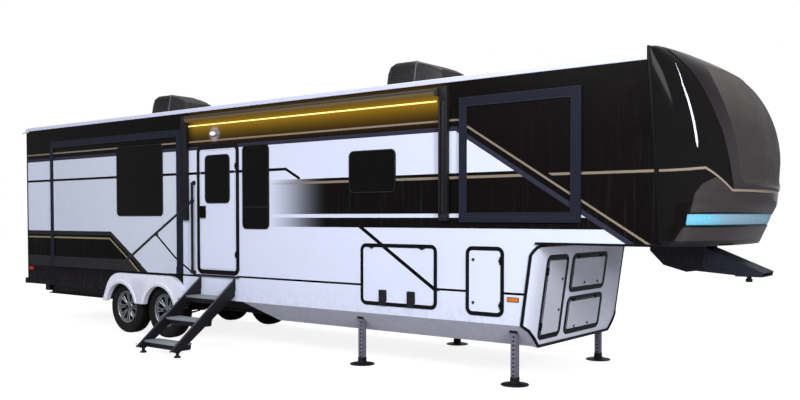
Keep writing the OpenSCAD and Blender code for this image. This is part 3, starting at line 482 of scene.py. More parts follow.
def skin(name, white, glow=False, body_white=WHITE, inner=False):
    """Side skin: gel coat with fine orange peel, slight dulling and the stripes; with glow, painted light of the
    awning's strip and of the porch lamp on the wall, as emission.
    """
    k = Look(name, white, 0.22, specular=0.06)
    livery(k, k.x, k.z)
    if inner:
        k.paint(k.y.abs().lt(1.2495), body_white)
    k.shade(k.noise(1.3, 5.0, 0.6), 0.975, 1.02)
    streak = k.noise(9.0, 4.0, 0.65, stretch=(3.0, 3.0, 0.12))
    k.dirt_and_shade(streak.ramp(0.55, 0.8) * k.z.ramp(3.4, 0.7, 0.15, 1.0), (120, 120, 128), 0.10)
    k.dirt_and_shade(k.z.ramp(1.0, 0.7) * k.noise(14.0, 5.0, 0.7).ramp(0.45, 0.7), (96, 92, 92), 0.22)
    k.roughen(k.noise(3.0, 4.0, 0.6), 0.16, 0.30)
    k.bump(k.noise(260.0, 2.0, 0.5), 0.0005, 0.12)
    if glow:
        # Painted light: the awning strip's glow on the wall under the roller, as emission in the paint
        along = k.x.ramp(4.66, 4.95, smooth=True) & k.x.ramp(9.66, 9.45, smooth=True)
        below = k.z.ramp(2.95, 3.33) ** 2.6
        above = k.z.ramp(3.62, 3.345) ** 2.2
        f = along * below.min(above)
        painted_strip_glow = k.mix(f, (0, 0, 0, 1), srgb(150, 112, 16))
        # Painted light: a pool of the porch lamp's light on the wall round it
        round_lamp = (k.x - PORCH[0]) ** 2.0 + (k.z - PORCH[1]) ** 2.0
        k.glow(k.mix(round_lamp.ramp(0.030, 0.002) ** 4.0, painted_strip_glow, srgb(188, 176, 190)), 1.0)
    return k


rivet_black = plain("black_powder_coat", (26, 25, 30), 0.42, 0.10, 8.0, 0.0006, 700.0, specular=0.2)
gloss_black = plain("black_gloss_trim", (14, 13, 15), 0.22, 0.08, 5.0, 0.0002, 300.0, specular=0.14)
BLACK_METAL = rivet_black.done()
BLACK_TRIM = gloss_black.done()


def glass_look():
    k = Look("dark_glass", (10, 9, 8), 0.06, specular=0.09)
    k.shade(k.noise(1.1, 3.0), 0.8, 1.3)
    k.roughen(k.noise(5.0, 3.0, 0.6), 0.04, 0.09)
    # Faint clear streaks as left by washing
    k.dirt_and_shade(k.noise(18.0, 4.0, 0.7, stretch=(1.0, 1.0, 0.2)).ramp(0.6, 0.85), (70, 72, 80), 0.05)
    k.bump(k.noise(2.2, 2.0), 0.002, 0.15)
    return k.done()


GLASS = glass_look()


def give(node, mat):
    mesh = NODES[node].data
    if not mesh.materials:
        mesh.materials.append(mat)
    for i in range(len(mesh.materials)):
        mesh.materials[i] = mat


def roof_look():
    k = Look("roof_membrane", (226, 229, 240), 0.5, specular=0.3)
    k.shade(k.noise(0.8, 5.0, 0.6), 0.96, 1.02)
    k.dirt_and_shade(k.noise(3.0, 6.0, 0.7, stretch=(0.4, 1.6, 1.0)).ramp(0.5, 0.8), (150, 146, 138), 0.22)
    k.paint(k.z.lt(3.606), (190, 194, 222))
    seam = (k.x * (1 / 2.9)).op("FRACT").near(0.5, 0.006)
    k.dirt_and_shade(seam & k.z.gt(3.60), (120, 118, 116), 0.6)
    k.bump(k.noise(55.0, 3.0, 0.6), 0.002, 0.2)
    return k.done()


def floor_look():
    k = Look("floor_deck", (112, 96, 76), 0.7, specular=0.2)
    k.shade(k.noise(14.0, 6.0, 0.7, stretch=(0.3, 3.0, 3.0)), 0.75, 1.2)
    k.bump(k.noise(60.0, 5.0, 0.7, stretch=(0.2, 2.0, 2.0)), 0.002, 0.4)
    return k.done()


give("right_wall", skin("side_skin_right", WHITE, glow=True).done())
give("left_wall", skin("side_skin_left", WHITE).done())
give("roof", roof_look())
for n in ("main_floor", "front_deck", "storage_floor"):
    give(n, floor_look())


def rear_look():
    """Rear skin: the side's stripes carried round, and a dark upper panel."""
    k = Look("rear_skin", ROOM_WHITE, 0.24, specular=0.09)
    livery(k, Num(k, 0.5), k.z, front_tan=False)
    k.shade(k.noise(1.5, 5.0, 0.6), 0.97, 1.02)
    k.dirt_and_shade(k.noise(9.0, 4.0, 0.65, stretch=(3.0, 3.0, 0.12)).ramp(0.55, 0.8), (110, 108, 112), 0.12)
    k.roughen(k.noise(3.0, 4.0, 0.6), 0.18, 0.32)
    k.bump(k.noise(260.0, 2.0, 0.5), 0.0005, 0.12)
    return k.done()


give("rear_wall", rear_look())


def room_look(name, x0, x1, z0, z1, foot, side, white=ROOM_WHITE):
    """Slide room: stripes on its outer panel, a dark flange, plain light flanks."""
    k = skin(name, white, inner=True, body_white=(206, 208, 216))
    inside = k.x.between(x0, x1) & k.z.between(z0, z1)
    out = k.y.abs().gt(1.2495)
    k.paint((inside * -1.0 + 1.0) & out, FRAME_NAVY)
    return k.done()


give("slide_rear_right", room_look("room_skin_rear", 0.967, 4.472, 1.000, 3.193, 1.052, -1))
give("slide_front_right", room_look("room_skin_front", 9.896, 11.227, 1.997, 3.237, 1.882, -1, WHITE))
give("slide_left", room_look("room_skin_left", 1.461, 5.816, 1.000, 3.193, 1.052, 1))


def leaf_look(name, x=True):
    k = Look(name, WHITE, 0.22, specular=0.06)
    livery(k, k.x, k.z)
    k.paint(k.z.between(1.0, 1.1), WHITE)
    k.paint((k.z - (k.x - 8.268) * -0.634).near(1.790, 0.029) & k.x.between(8.2, 9.46), BLACK)
    k.paint(k.y.abs().gt(1.2586), BLACK)
    k.shade(k.noise(1.3, 5.0, 0.6), 0.975, 1.02)
    k.roughen(k.noise(3.0, 4.0, 0.6), 0.16, 0.30)
    k.bump(k.noise(260.0, 2.0, 0.5), 0.0005, 0.12)
    return k.done()


door = leaf_look("door_skin")
for n in ("entry_door", "hatch_right_large", "hatch_right_small", "hatch_left"):
    give(n, door)


def front_leaf_look():
    k = Look("front_door_skin", (186, 188, 204), 0.34, specular=0.2)
    face = (k.x - FRONT_TOP) * math.cos(TILT) - (k.z - DECK_Z) * math.sin(TILT)
    k.paint(face.gt(FRONT_BOW + 0.0086), BLACK)
    k.shade(k.noise(1.6, 5.0, 0.6), 0.95, 1.03)
    k.roughen(k.noise(4.0, 4.0, 0.6), 0.26, 0.42)
    k.bump(k.noise(300.0, 2.0, 0.5), 0.0005, 0.15)
    return k.done()


front_leaf = front_leaf_look()
for n in ("front_door_tall", "front_door_upper", "front_door_lower"):
    give(n, front_leaf)

front_skin = plain("front_skin", (204, 208, 226), 0.3, 0.03, 1.4, 0.0005, 300.0, specular=0.2)
give("front_wall", front_skin.done())
skirt = plain("skirt_skin", (205, 206, 222), 0.36, 0.04, 1.5, 0.0005, 260.0, specular=0.25)
skirt.dirt_and_shade(skirt.noise(12.0, 5.0, 0.7).ramp(0.45, 0.75), (90, 86, 84), 0.2)
give("belly_skirts", skirt.done())
for n in ("window_panes", "slide_pane_right", "slide_panes_left", "entry_pane"):
    give(n, GLASS)
give("door_frames", BLACK_TRIM)
underbelly = plain("underbelly", (22, 22, 24), 0.7, 0.15, 3.0, 0.003, 90.0, specular=0.2)
give("belly_pan", underbelly.done())
chassis = plain("chassis_paint", (24, 24, 30), 0.45, 0.15, 4.0, 0.0008, 300.0, specular=0.3)
chassis.dirt_and_shade(chassis.noise(9.0, 6.0, 0.7).ramp(0.5, 0.75), (92, 74, 58), 0.25)
chassis_mat = chassis.done()
for n in ("chassis_frame", "axles", "leaf_springs"):
    give(n, chassis_mat)


def pin_look():
    """Pin box: its arm a little lighter than the part bolted under the cap."""
    k = Look("pin_box_paint", (19, 19, 25), 0.4, specular=0.22)
    k.paint(k.x.gt(12.315), (30, 32, 42))
    k.shade(k.noise(5.0, 4.0, 0.6), 0.88, 1.12)
    k.dirt_and_shade(k.noise(22.0, 5.0, 0.7).ramp(0.55, 0.8), (74, 66, 58), 0.15)
    k.roughen(k.noise(13.0, 3.0, 0.6), 0.32, 0.5)
    k.bump(k.noise(300.0), 0.0006, 0.5)
    return k.done()


give("pin_box", pin_look())
cap_paint = plain("cap_paint", (18, 16, 16), 0.12, 0.08, 2.0, specular=0.4)
give("front_cap", cap_paint.done())
give("cap_panel", plain("cap_panel_paint", (58, 56, 58), 0.35, 0.06, 2.0).done())
lamp = plain("lamp_lens", (120, 200, 225), 0.2, 0.05, 3.0)
lamp.glow(srgb(120, 200, 228), 0.9)
give("cap_lamp", lamp.done())
give("air_conditioners", plain("shroud_plastic", (40, 39, 41), 0.5, 0.1, 6.0, 0.001, 500.0).done())
give("roof_vents", plain("vent_plastic", (215, 217, 222), 0.4, 0.04, 6.0).done())
give("awning", BLACK_METAL)
strip = plain("light_strip", (255, 232, 140), 0.3, 0.02)
strip.glow(srgb(255, 226, 120), 1.6)
give("awning_light", strip.done())
give("entry_steps", BLACK_METAL)
give("handrails", BLACK_METAL)
fender = plain("fender_gelcoat", (226, 228, 244), 0.28, 0.012, 1.0, 0.0004, 250.0, specular=0.35)
# Painted shade: the fender's lower middle, between the wheels, is tinted a darker blue-grey
fender.dirt_and_shade((fender.x - 3.544).abs().ramp(0.26, 0.10) * fender.z.ramp(0.98, 0.86), (186, 184, 208), 0.5)
give("fenders", fender.done())
tyre = plain("tyre_rubber", (22, 21, 22), 0.75, 0.15, 9.0, 0.0015, 500.0, specular=0.25)
tyre_mat = tyre.done()
alloy = plain("wheel_alloy", (118, 120, 126), 0.3, 0.1, 12.0, metal=0.9)
alloy_mat = alloy.done()
for where in ("rear_right", "front_right", "rear_left", "front_left"):
    give("tyre_" + where, tyre_mat)
    give("rim_" + where, alloy_mat)
leg = plain("leg_steel", (104, 103, 118), 0.42, 0.1, 10.0, 0.0006, 300.0, metal=0.3)
give("landing_legs", leg.done())
amber = plain("amber_lens", (214, 120, 24), 0.2, 0.1, 30.0)
give("marker_lamps", amber.done())
give("ladder", plain("ladder_alloy", (170, 172, 178), 0.32, 0.06, 10.0, metal=0.8).done())


# Nose cap
NOSE_X, NOSE_Z, NOSE_H, NOSE_L = 12.970, 2.550, 1.330, 1.400
NOSE_LOW = ((1.640, -0.260), (1.850, -0.150), (1.985, -0.088), (2.075, -0.038), (2.250, -0.018), (2.550, 0.0))
CAP_TOP = NOSE_Z + NOSE_H * math.sqrt(1 - (1 - (NOSE_X - WALL_L) / NOSE_L) ** 2)
CAP_LID = NOSE_Z + NOSE_H * math.sqrt(1 - (1 - (NOSE_X - WALL_L - 0.05) / NOSE_L) ** 2)
CAP_SQUARE = 2 / 2.3
# Half widths of the front panel by height: its crease, and both edges of the bevel round its field
CREASE = ((2.227, 0.836), (2.290, 0.844), (2.490, 0.875), (2.670, 0.906), (2.800, 0.938), (2.970, 0.969),
          (3.080, 1.000), (3.240, 1.018), (3.480, 1.047), (3.733, 1.066))
BEVEL_OUT = ((2.300, 0.705), (2.390, 0.766), (2.650, 0.812), (2.850, 0.830), (3.010, 0.844), (3.190, 0.844),
             (3.330, 0.828), (3.540, 0.750))
BEVEL_IN = ((2.330, 0.650), (2.420, 0.710), (2.650, 0.760), (2.850, 0.780), (3.010, 0.794), (3.190, 0.792),
            (3.330, 0.772), (3.470, 0.708))
LAMP = (1.855, 1.975)
CAP_DIP = 0.042


def table(key, rows):
    """Value at a key by straight lines between rows of (key, value)."""
    for (a, u), (b, v) in zip(rows, rows[1:]):
        if key <= b:
            return u + (v - u) * max(0.0, key - a) / (b - a)
    return rows[-1][1]


def step(v, low, high):
    t = min(1.0, max(0.0, (v - low) / (high - low)))
    return t * t * (3 - 2 * t)


def seam_at(z):
    return WALL_L + max(0.0, WALL_TOP - z) * LEAN


def nose_at(z):
    if z < NOSE_Z:
        return NOSE_X + table(z, NOSE_LOW)
    return NOSE_X + NOSE_L * (math.sqrt(1 - ((z - NOSE_Z) / NOSE_H) ** 2) - 1)


def cap_half(z):
    f = max(0.0, 1 - (CAP_TOP - z) / 0.090)
    return HALF * (1 - min(f, 0.985) ** 2.4) ** 0.4


def cap_point(y, z, off=0.0):
    """A point of the cap's surface, moved outwards by a distance."""

    def bare(v, w):
        s = min(1.0, abs(v) / cap_half(w)) ** (1 / CAP_SQUARE)
        x0 = seam_at(w) + 0.0003
        return Vector((x0 + (nose_at(w) - x0) * math.sqrt(max(0.0, 1 - s * s)) ** CAP_SQUARE, v, w))

    p = bare(y, z)
    dip = Vector((0, 0, CAP_DIP * step(z, 3.35, CAP_LID)))
    if not off:
        return p - dip
    d = 0.004
    y1, y2 = max(-cap_half(z), y - d), min(cap_half(z), y + d)
    across, up = bare(y2, z) - bare(y1, z), bare(y, z + d) - bare(y, z - d)
    return p + across.cross(up).normalized() * off - dip


def relief(y, z):
    """Height of the front panel and depth of its field and of the lamp's recess."""
    a = abs(y)
    h = 0.010 * step(table(z, CREASE) - a, -0.007, 0.007) * step(z, 2.224, 2.242) * step(z, 3.745, 3.715)
    lip = table(z, BEVEL_OUT) - a
    depth = table(z, BEVEL_OUT) - table(z, BEVEL_IN)
    h -= 0.013 * step(lip, 0.0, depth) * step(z, 2.292, 2.330) * step(z, 3.545, 3.470)
    if LAMP[0] < z < LAMP[1] and a < 0.951 * HALF:
        h -= 0.024
    return h


def cap_columns(z):
    """Places across the cap at a height, set along the creases of its relief."""
    half, crease, outer, inner = cap_half(z), table(z, CREASE), table(z, BEVEL_OUT), table(z, BEVEL_IN)
    crease = min(crease, half * 0.93)
    outer = min(outer, crease - 0.030)
    inner = min(inner, outer - 0.015)
    ys = [inner * k / 14 for k in range(15)] + [inner + (outer - inner) * k / 4 for k in (1, 2, 3, 4)]
    ys += [(outer * (3 - k) + (crease - 0.008) * k) / 3 for k in (1, 2, 3)]
    ys += [crease, crease + 0.008]
    first = math.asin(((crease + 0.008) / half) ** (1 / CAP_SQUARE))
    last = math.pi / 2
    spread = [half * math.sin(first + (last - first) * k / 26) ** CAP_SQUARE for k in range(1, 27)]
    # The recess of the lamp ends between two columns
    near = min(range(25), key=lambda i: abs(spread[i] - 0.950 * half))
    spread[near] = 0.950 * half
    spread[near + 1] = 0.953 * half
    ys += spread
    return [-v for v in reversed(ys[1:])] + ys


def cap_rows():
    rows = [1.643, 1.650, 1.665, 1.690, 1.72, 1.75, 1.78, 1.81, 1.835, 1.850, 1.8549, 1.8560, 1.88, 1.915, 1.95,
            1.9740, 1.9751, 1.980, 2.0, 2.03, 2.06, 2.09, 2.13, 2.17, 2.205, 2.222, 2.230, 2.236, 2.244, 2.262,
            2.280, 2.292, 2.305, 2.318, 2.330, 2.36]
    rows += [2.40 + 0.05 * k for k in range(21)] + [3.425, 3.45, 3.47, 3.49, 3.51, 3.53, 3.545, 3.58, 3.62, 3.65,
                                                    3.68, 3.70, 3.712, 3.724, 3.736, 3.746, 3.755, 3.763, CAP_LID]
    return rows


def cap_shell():
    shell = Piece()
    loops = []
    for z in cap_rows():
        ys = cap_columns(z)
        bottom = 0.006 * step(z, 1.665, 1.643)
        loops.append([cap_point(y, z, relief(y, z) - (bottom if abs(y) < 1.24 else 0.0)) for y in ys])
    shell.loft(loops)
    return shell


def cap_look():
    """Gloss black paint with a charcoal lower zone and a thin line over it."""
    k = Look("cap_paint", (13, 11, 12), 0.12, specular=0.13, coat=0.13, coat_rough=0.04)
    a = k.y.abs()
    rise = (a * 0.852 - 0.836 * 0.852 + 2.217).min(a * -0.143 + 1.093 * 0.143 + 2.436)
    line = rise.max(2.214)
    low = (k.z * 0.59 + 12.328 - 1.67 * 0.59).min(k.z * 0.205 + 12.4755 - 1.92 * 0.205)
    edge = low.max(k.z * 0.64 + 12.529 - 2.18 * 0.64).max(k.z * 1.55 + 12.593 - 2.28 * 1.55)
    k.paint(k.z.lt(line - 0.018) & (k.x - edge).gt(0.0), CHARCOAL)
    k.paint((k.z.near(1.982, 0.009) | k.z.near(1.846, 0.010)) & (k.x - edge).gt(0.0), (10, 9, 10))
    panel = (k.z * 0.192 + 0.826 - 2.227 * 0.192).min(k.z * 0.101 + 0.990 - 3.080 * 0.101)
    dusk = k.mix(k.z.ramp(2.5, 3.5), srgb(47, 43, 46), srgb(26, 23, 25))
    k.colour = k.mix((a - panel).lt(0.004) & k.z.gt(line), k.colour, dusk)
    k.paint((k.z - line).abs().lt(0.0125) & k.x.gt(seam_at(2.4) + 0.03), TAN)
    k.paint(k.z.lt(1.700), (24, 22, 24))
    k.shade(k.noise(1.2, 3.0), 0.92, 1.10)
    k.roughen(k.noise(3.0, 4.0, 0.6), 0.07, 0.14)
    k.dirt_and_shade(k.noise(16.0, 5.0, 0.7).ramp(0.62, 0.85), (120, 116, 112), 0.03)
    k.bump(k.noise(2.6, 2.0), 0.003, 0.10)
    k.bump(k.noise(300.0, 2.0), 0.0004, 0.06)
    return k.done()


CAP = cap_look()
cap_shell().make("cap_shell", CAP, "cap", replaces=("front_cap",), sharp=28.0)

field = Piece()
grid = []
for z in cap_rows():
    if 2.290 < z < 3.546:
        edge = min(table(z, BEVEL_OUT), table(z, CREASE) - 0.030) + 0.0001
        grid.append([cap_point(y, z, relief(y, z) + 0.0015) for y in cap_columns(z) if abs(y) < edge])
n = len(grid[0])
field.add([p for row in grid for p in row], [
    [k * n + i, k * n + i + 1, (k + 1) * n + i + 1, (k + 1) * n + i] for k in range(len(grid) - 1) for i in range(n - 1)])
inlay = plain("cap_inlay", (54, 50, 50), 0.46, 0.07, 1.6, 0.0003, 400.0, specular=0.22)
# Lighter towards the top
inlay.dirt_and_shade(inlay.z.ramp(2.9, 3.5), (96, 92, 88), 0.45)
field.make("cap_field", inlay.done(), "cap_inlay", replaces=("cap_panel",))

# The lamp's lens, with its ribs, in the recess
lens = Piece()
span = 0.946 * HALF
ys = [span * math.sin(math.pi * (k / 160 - 0.5)) for k in range(161)]
edge = ((1.860, -0.0225), (1.860, -0.010), (1.866, -0.006), (1.915, -0.0045), (1.964, -0.006), (1.970, -0.010), (1.970, -0.0225))
lens.loft([[cap_point(y, z, off - (0.0016 if k % 2 else 0.0)) for z, off in edge] for k, y in enumerate(ys)])
band = Look("lamp_lens", (96, 164, 190), 0.22, specular=0.3)
band.shade(band.noise(40.0, 3.0, 0.6), 0.9, 1.08)
band.roughen(band.noise(20.0, 3.0), 0.16, 0.32)
ahead = band.x.ramp(12.62, 12.74)
band.colour = band.mix(ahead, band.colour, srgb(112, 144, 162))
tone = band.mix(ahead, srgb(104, 178, 208), srgb(118, 152, 172))
tone = band.mix(band.z.near(1.912, 0.038), srgb(84, 140, 168), tone)
band.glow(tone, 0.24)
lens.make("cap_light", band.done(), "lamp_lens", replaces=("cap_lamp",))

# Trim along the seam, and the slim bright strip beside the shoulder
trim = Piece()
for s in (-1, 1):
    zs = [1.650 + (3.690 - 1.650) * k / 30 for k in range(31)]
    trim.loft([[Vector((seam_at(z) + u, s * (HALF + v), z)) for u, v in
                ((-0.016, -0.001), (-0.016, 0.004), (-0.011, 0.0065), (0.012, 0.0065), (0.017, 0.004), (0.017, -0.002))]
               for z in zs])
trim.make("cap_seam_trim", BLACK_TRIM, "trim")
sliver = Piece()
for s in (-1, 1):
    rows = [(3.520, 1.128), (3.460, 1.139), (3.280, 1.154), (3.080, 1.149), (2.840, 1.144), (2.639, 1.140)]
    fine = [(3.520 - 0.881 * k / 32) for k in range(33)]
    wide = lambda z: 0.0010 + 0.0050 * max(0.0, min(1.0, (3.525 - z) / 0.40, (z - 2.634) / 0.06))
    loops = []
    for z in fine:
        y = table(-z, [(-a, b) for a, b in rows])
        loops.append([cap_point(s * (y + wide(z) * u), z, v) for u, v in
                      ((-1, -0.001), (-1, 0.001), (-0.5, 0.0028), (0.5, 0.0028), (1, 0.001), (1, -0.001))])
    sliver.loft(loops)
bright = plain("bright_strip", (214, 218, 228), 0.18, 0.04, 20.0, specular=0.5)
sliver.make("cap_bright_strip", bright.done(), "trim")

# Wheels
def tyre_piece(place):
    """Tyre with grooves round it and blocks cut into its shoulders."""
    t = Piece()
    sides = 180
    half = [(0.254, 0.094), (0.262, 0.1005), (0.280, 0.103), (0.288, 0.1065), (0.300, 0.110), (0.318, 0.118),
            (0.340, 0.1222), (0.362, 0.1225), (0.366, 0.1212), (0.380, 0.1205), (0.392, 0.117), (0.404, 0.1145)]
    tread = [(0.4325, 0.086), (0.4355, 0.072), (0.4375, 0.060), (0.4298, 0.058), (0.4298, 0.051), (0.4385, 0.049),
             (0.4392, 0.020), (0.4315, 0.018), (0.4315, 0.010), (0.4396, 0.008)]
    loops = []
    for k in range(sides):
        a = 2 * math.pi * k / sides
        cut = k % 5 == 0
        profile = list(half)
        for r, h in ((0.4165, 0.1075), (0.4265, 0.0985)):
            profile.append((r - (0.007 if cut else 0.0), h - (0.004 if cut else 0.0)))
        for r, h in tread:
            profile.append((r - (0.0065 if cut and h > 0.049 else 0.0), h))
        other = [(r, -h) for r, h in reversed(profile)]
        loops.append([(r * math.cos(a), r * math.sin(a), h) for r, h in profile + other])
    t.loft(loops, closed=True, place=place)
    return t


def rim_piece(place):
    """Alloy rim: stepped barrel, eight pairs of spokes, nuts and a centre cap."""
    w = Piece()
    w.lathe([(0.2535, 0.094), (0.2535, -0.094), (0.240, -0.094), (0.236, -0.060), (0.228, 0.0), (0.226, 0.050),
             (0.229, 0.066), (0.232, 0.072), (0.240, 0.076), (0.2445, 0.088), (0.2475, 0.0940)], 96, place)
    # Bead lip over the tyre's edge
    w.lathe([(0.2480, 0.0900), (0.2640, 0.0955), (0.2672, 0.0985), (0.2672, 0.1025), (0.2620, 0.1045), (0.2540, 0.1010), (0.2470, 0.0950)], 96, place)
    w.lathe([(0.030, 0.028), (0.082, 0.030), (0.088, 0.036), (0.088, 0.056), (0.080, 0.066), (0.056, 0.071), (0.044, 0.068), (0.030, 0.066)], 64, place)
    w.lathe([(0.0, 0.060), (0.036, 0.060), (0.040, 0.072), (0.038, 0.088), (0.028, 0.094), (0.0, 0.0965)], 48, place)
    for k in range(6):
        a = 2 * math.pi * (k + 0.5) / 6
        nut = place @ Matrix.Translation((0.062 * math.cos(a), 0.062 * math.sin(a), 0.0))
        w.lathe([(0.0, 0.060), (0.0115, 0.060), (0.0115, 0.080), (0.008, 0.086), (0.0, 0.087)], 6, nut)
    for k in range(8):
        for side in (-1, 1):
            loops = []
            for r, swing, width, top, deep in ((0.066, 5.5, 0.0135, 0.062, 0.024), (0.100, 6.2, 0.0130, 0.068, 0.024),
                                               (0.150, 6.8, 0.0120, 0.075, 0.022), (0.200, 7.4, 0.0125, 0.080, 0.022),
                                               (0.222, 7.8, 0.0150, 0.083, 0.024), (0.243, 8.6, 0.0210, 0.084, 0.030)):
                a = 2 * math.pi * k / 8 + side * math.radians(swing)
                out, across = Vector((math.cos(a), math.sin(a), 0)), Vector((-math.sin(a), math.cos(a), 0))
                shape = ((-1, -deep), (-1, -0.004), (-0.6, 0.0), (0.6, 0.0), (1, -0.004), (1, -deep))
                loops.append([out * r + across * (width * u) + Vector((0, 0, top + v)) for u, v in shape])
            w.loft(loops, place=place)
    return w


def rim_look():
    k = Look("wheel_alloy", (150, 152, 160), 0.26, metal=0.75, specular=0.5)
    k.shade(k.noise(9.0, 4.0, 0.6), 0.82, 1.12)
    # Painted shade: the barrel behind the spokes is painted dark, as in the shade inside the wheel
    deep = k.y.abs().lt(WHEEL_Y + 0.052)
    k.paint(deep, (44, 44, 50))
    k.dirt_and_shade(k.noise(26.0, 5.0, 0.7).ramp(0.5, 0.75), (52, 46, 42), 0.28)
    k.roughen(k.noise(14.0, 3.0), 0.18, 0.36)
    k.bump(k.noise(420.0, 2.0), 0.0004, 0.1)
    return k.done()


def tyre_look():
    k = Look("tyre_rubber", (21, 20, 21), 0.72, specular=0.22)
    k.shade(k.noise(11.0, 5.0, 0.7), 0.8, 1.25)
    k.dirt_and_shade(k.z.ramp(0.16, 0.0) * k.noise(20.0, 5.0, 0.7).ramp(0.4, 0.7), (92, 84, 76), 0.35)
    k.roughen(k.noise(20.0, 4.0), 0.6, 0.85)
    k.bump(k.noise(240.0, 3.0, 0.6), 0.0012, 0.4)
    return k.done()


RIM, TYRE = rim_look(), tyre_look()
for where, x, s in (("rear_right", 0, -1), ("front_right", 1, -1), ("rear_left", 0, 1), ("front_left", 1, 1)):
    hub = Matrix.Translation((WHEEL_XS[x], s * WHEEL_Y, WHEEL_Z)) @ Matrix.Rotation(-s * math.pi / 2, 4, "X")
    tyre_piece(hub).make("tread_" + where, TYRE, "tyre_rubber", "wheel_" + where, ("tyre_" + where,), 34.0)
    rim_piece(hub).make("alloy_" + where, RIM, "wheel_alloy", "wheel_" + where, ("rim_" + where,), 34.0)


# Roof equipment
AIR_XS, AIR_L, AIR_W, AIR_H, AIR_LEAN = (2.570, 7.925), 0.980, 0.740, 0.440, 0.065
AIR_FOOT = WALL_TOP + ROOF_EDGE + ROOF_CROWN
shroud = Piece()
louvres = Piece()
for x0 in AIR_XS:
    loops = []
    for f, h, w in ((0.004, 0.30, 0.93), (0.010, 0.72, 0.95), (0.045, 0.90, 0.97), (0.13, 0.985, 0.98), (0.30, 0.985, 0.98),
                    (0.50, 0.965, 0.98), (0.505, 0.945, 0.97), (0.64, 0.87, 0.96), (0.80, 0.745, 0.94), (0.92, 0.610, 0.90),
                    (0.975, 0.38, 0.84), (0.994, 0.17, 0.80)):
        x, top, half = x0 + f * AIR_L, h * AIR_H, AIR_W / 2 * w
        lean = AIR_LEAN * h
        r = min(0.055, top * 0.45)
        loop = [(-half, 0.002)]
        for k in range(7):
            a = math.radians(180 - 15 * k)
            loop.append((-half + lean + r + r * math.cos(a), top - r + r * math.sin(a)))
        loop += [(-v, z) for v, z in reversed(loop)]
        loops.append([Vector((x, v, AIR_FOOT + z)) for v, z in loop])
    shroud.loft(loops)
    # Base flange, seam band and raised lip
    shroud.box((x0 + 0.004, -AIR_W / 2 + 0.004, AIR_FOOT + 0.001), (x0 + AIR_L - 0.004, AIR_W / 2 - 0.004, AIR_FOOT + 0.022), 0.005)
    for s in (-1, 1):
        for k in range(9):
            z = 0.075 + 0.034 * k
            y = s * (AIR_W / 2 * 0.975 - AIR_LEAN * z / AIR_H)
            louvres.box((x0 + 0.080 + 0.010 * (k > 6), min(y, y - s * 0.012), AIR_FOOT + z),
                        (x0 + 0.455, max(y, y - s * 0.012) + 0.0, AIR_FOOT + z + 0.020), 0.004)
    for k in range(8):
        z = 0.080 + 0.034 * k
        louvres.box((x0 + 0.002 + 0.00011 * k, -0.270, AIR_FOOT + z), (x0 + 0.026, 0.270, AIR_FOOT + z + 0.020), 0.004)
    for k in range(10):
        x = x0 + 0.150 + 0.032 * k
        louvres.box((x, -0.235, AIR_FOOT + AIR_H * 0.955), (x + 0.018, 0.235, AIR_FOOT + AIR_H * 0.992), 0.004)
shroud_look = Look("shroud_plastic", (30, 29, 31), 0.42, specular=0.35)
shroud_look.shade(shroud_look.noise(5.0, 4.0), 0.85, 1.2)
for x0 in AIR_XS:
    seam = x0 + 0.5 * AIR_L
    shroud_look.paint(shroud_look.x.between(seam - 0.004, seam + 0.010), (96, 95, 99))
shroud_look.dirt_and_shade(shroud_look.noise(18.0, 5.0, 0.7).ramp(0.5, 0.8), (92, 88, 84), 0.18)
shroud_look.bump(shroud_look.noise(500.0, 2.0), 0.001, 0.3)
SHROUD = shroud_look.done()
shroud.make("air_shrouds", SHROUD, "equipment", replaces=("air_conditioners",), sharp=30.0)
louvre = plain("louvre_plastic", (16, 16, 18), 0.5, 0.1, 9.0, 0.0008, 600.0, specular=0.3)
louvres.make("air_louvres", louvre.done(), "equipment")

lids = Piece()
for x in (5.400, 10.300):
    rows = ((0.0, 0.004), (0.004, 0.030), (0.010, 0.034), (0.010, 0.052), (0.002, 0.056), (0.002, 0.066), (0.018, 0.078), (0.060, 0.085), (0.120, 0.088))
    lids.loft([[Vector((x + u, v, AIR_FOOT + z)) for u, v in rounded(-0.209 + i, -0.209 + i, 0.418 - 2 * i, 0.418 - 2 * i, max(0.004, 0.045 - i * 0.3))]
               for i, z in rows])
lids.make("vent_lids", plain("vent_plastic", (222, 223, 228), 0.4, 0.04, 6.0, 0.0006, 300.0).done(), "vent_lid", replaces=("roof_vents",))

# Edges of the roof and gutter spouts
gutter = Piece()
for s in (-1, 1):
    gutter.loft([[Vector((x, s * (HALF + u), WALL_TOP + v)) for u, v in
                  ((-0.004, -0.006), (0.008, -0.006), (0.0105, -0.002), (0.0105, 0.010), (0.0065, 0.014), (0.0065, 0.044),
                   (0.002, 0.050), (-0.004, 0.050))] for x in (-0.016, 2.0, 4.0, 6.0, 8.0, 10.0, 12.060)])
    gutter.box((-0.014, min(s * (HALF - 0.002), s * (HALF + 0.022)), WALL_TOP - 0.030), (0.075, max(s * (HALF - 0.002), s * (HALF + 0.022)), WALL_TOP + 0.004), 0.006)
    # Thin spout at the rear end
    gutter.loft([[Vector((x, s * (HALF - 0.004 + v), z + w)) for v, w in ((-0.012, 0.0), (-0.010, 0.006), (0.010, 0.006), (0.012, 0.0), (0.0, -0.004))]
                 for x, z in ((-0.138, WALL_TOP - 0.032), (-0.060, WALL_TOP - 0.022), (0.010, WALL_TOP - 0.010))])
vinyl = plain("gutter_vinyl", (206, 210, 236), 0.32, 0.03, 3.0, 0.0003, 300.0)
vinyl.paint(vinyl.x.lt(-0.018), (30, 29, 34))
gutter.make("roof_gutters", vinyl.done(), "roof_membrane")

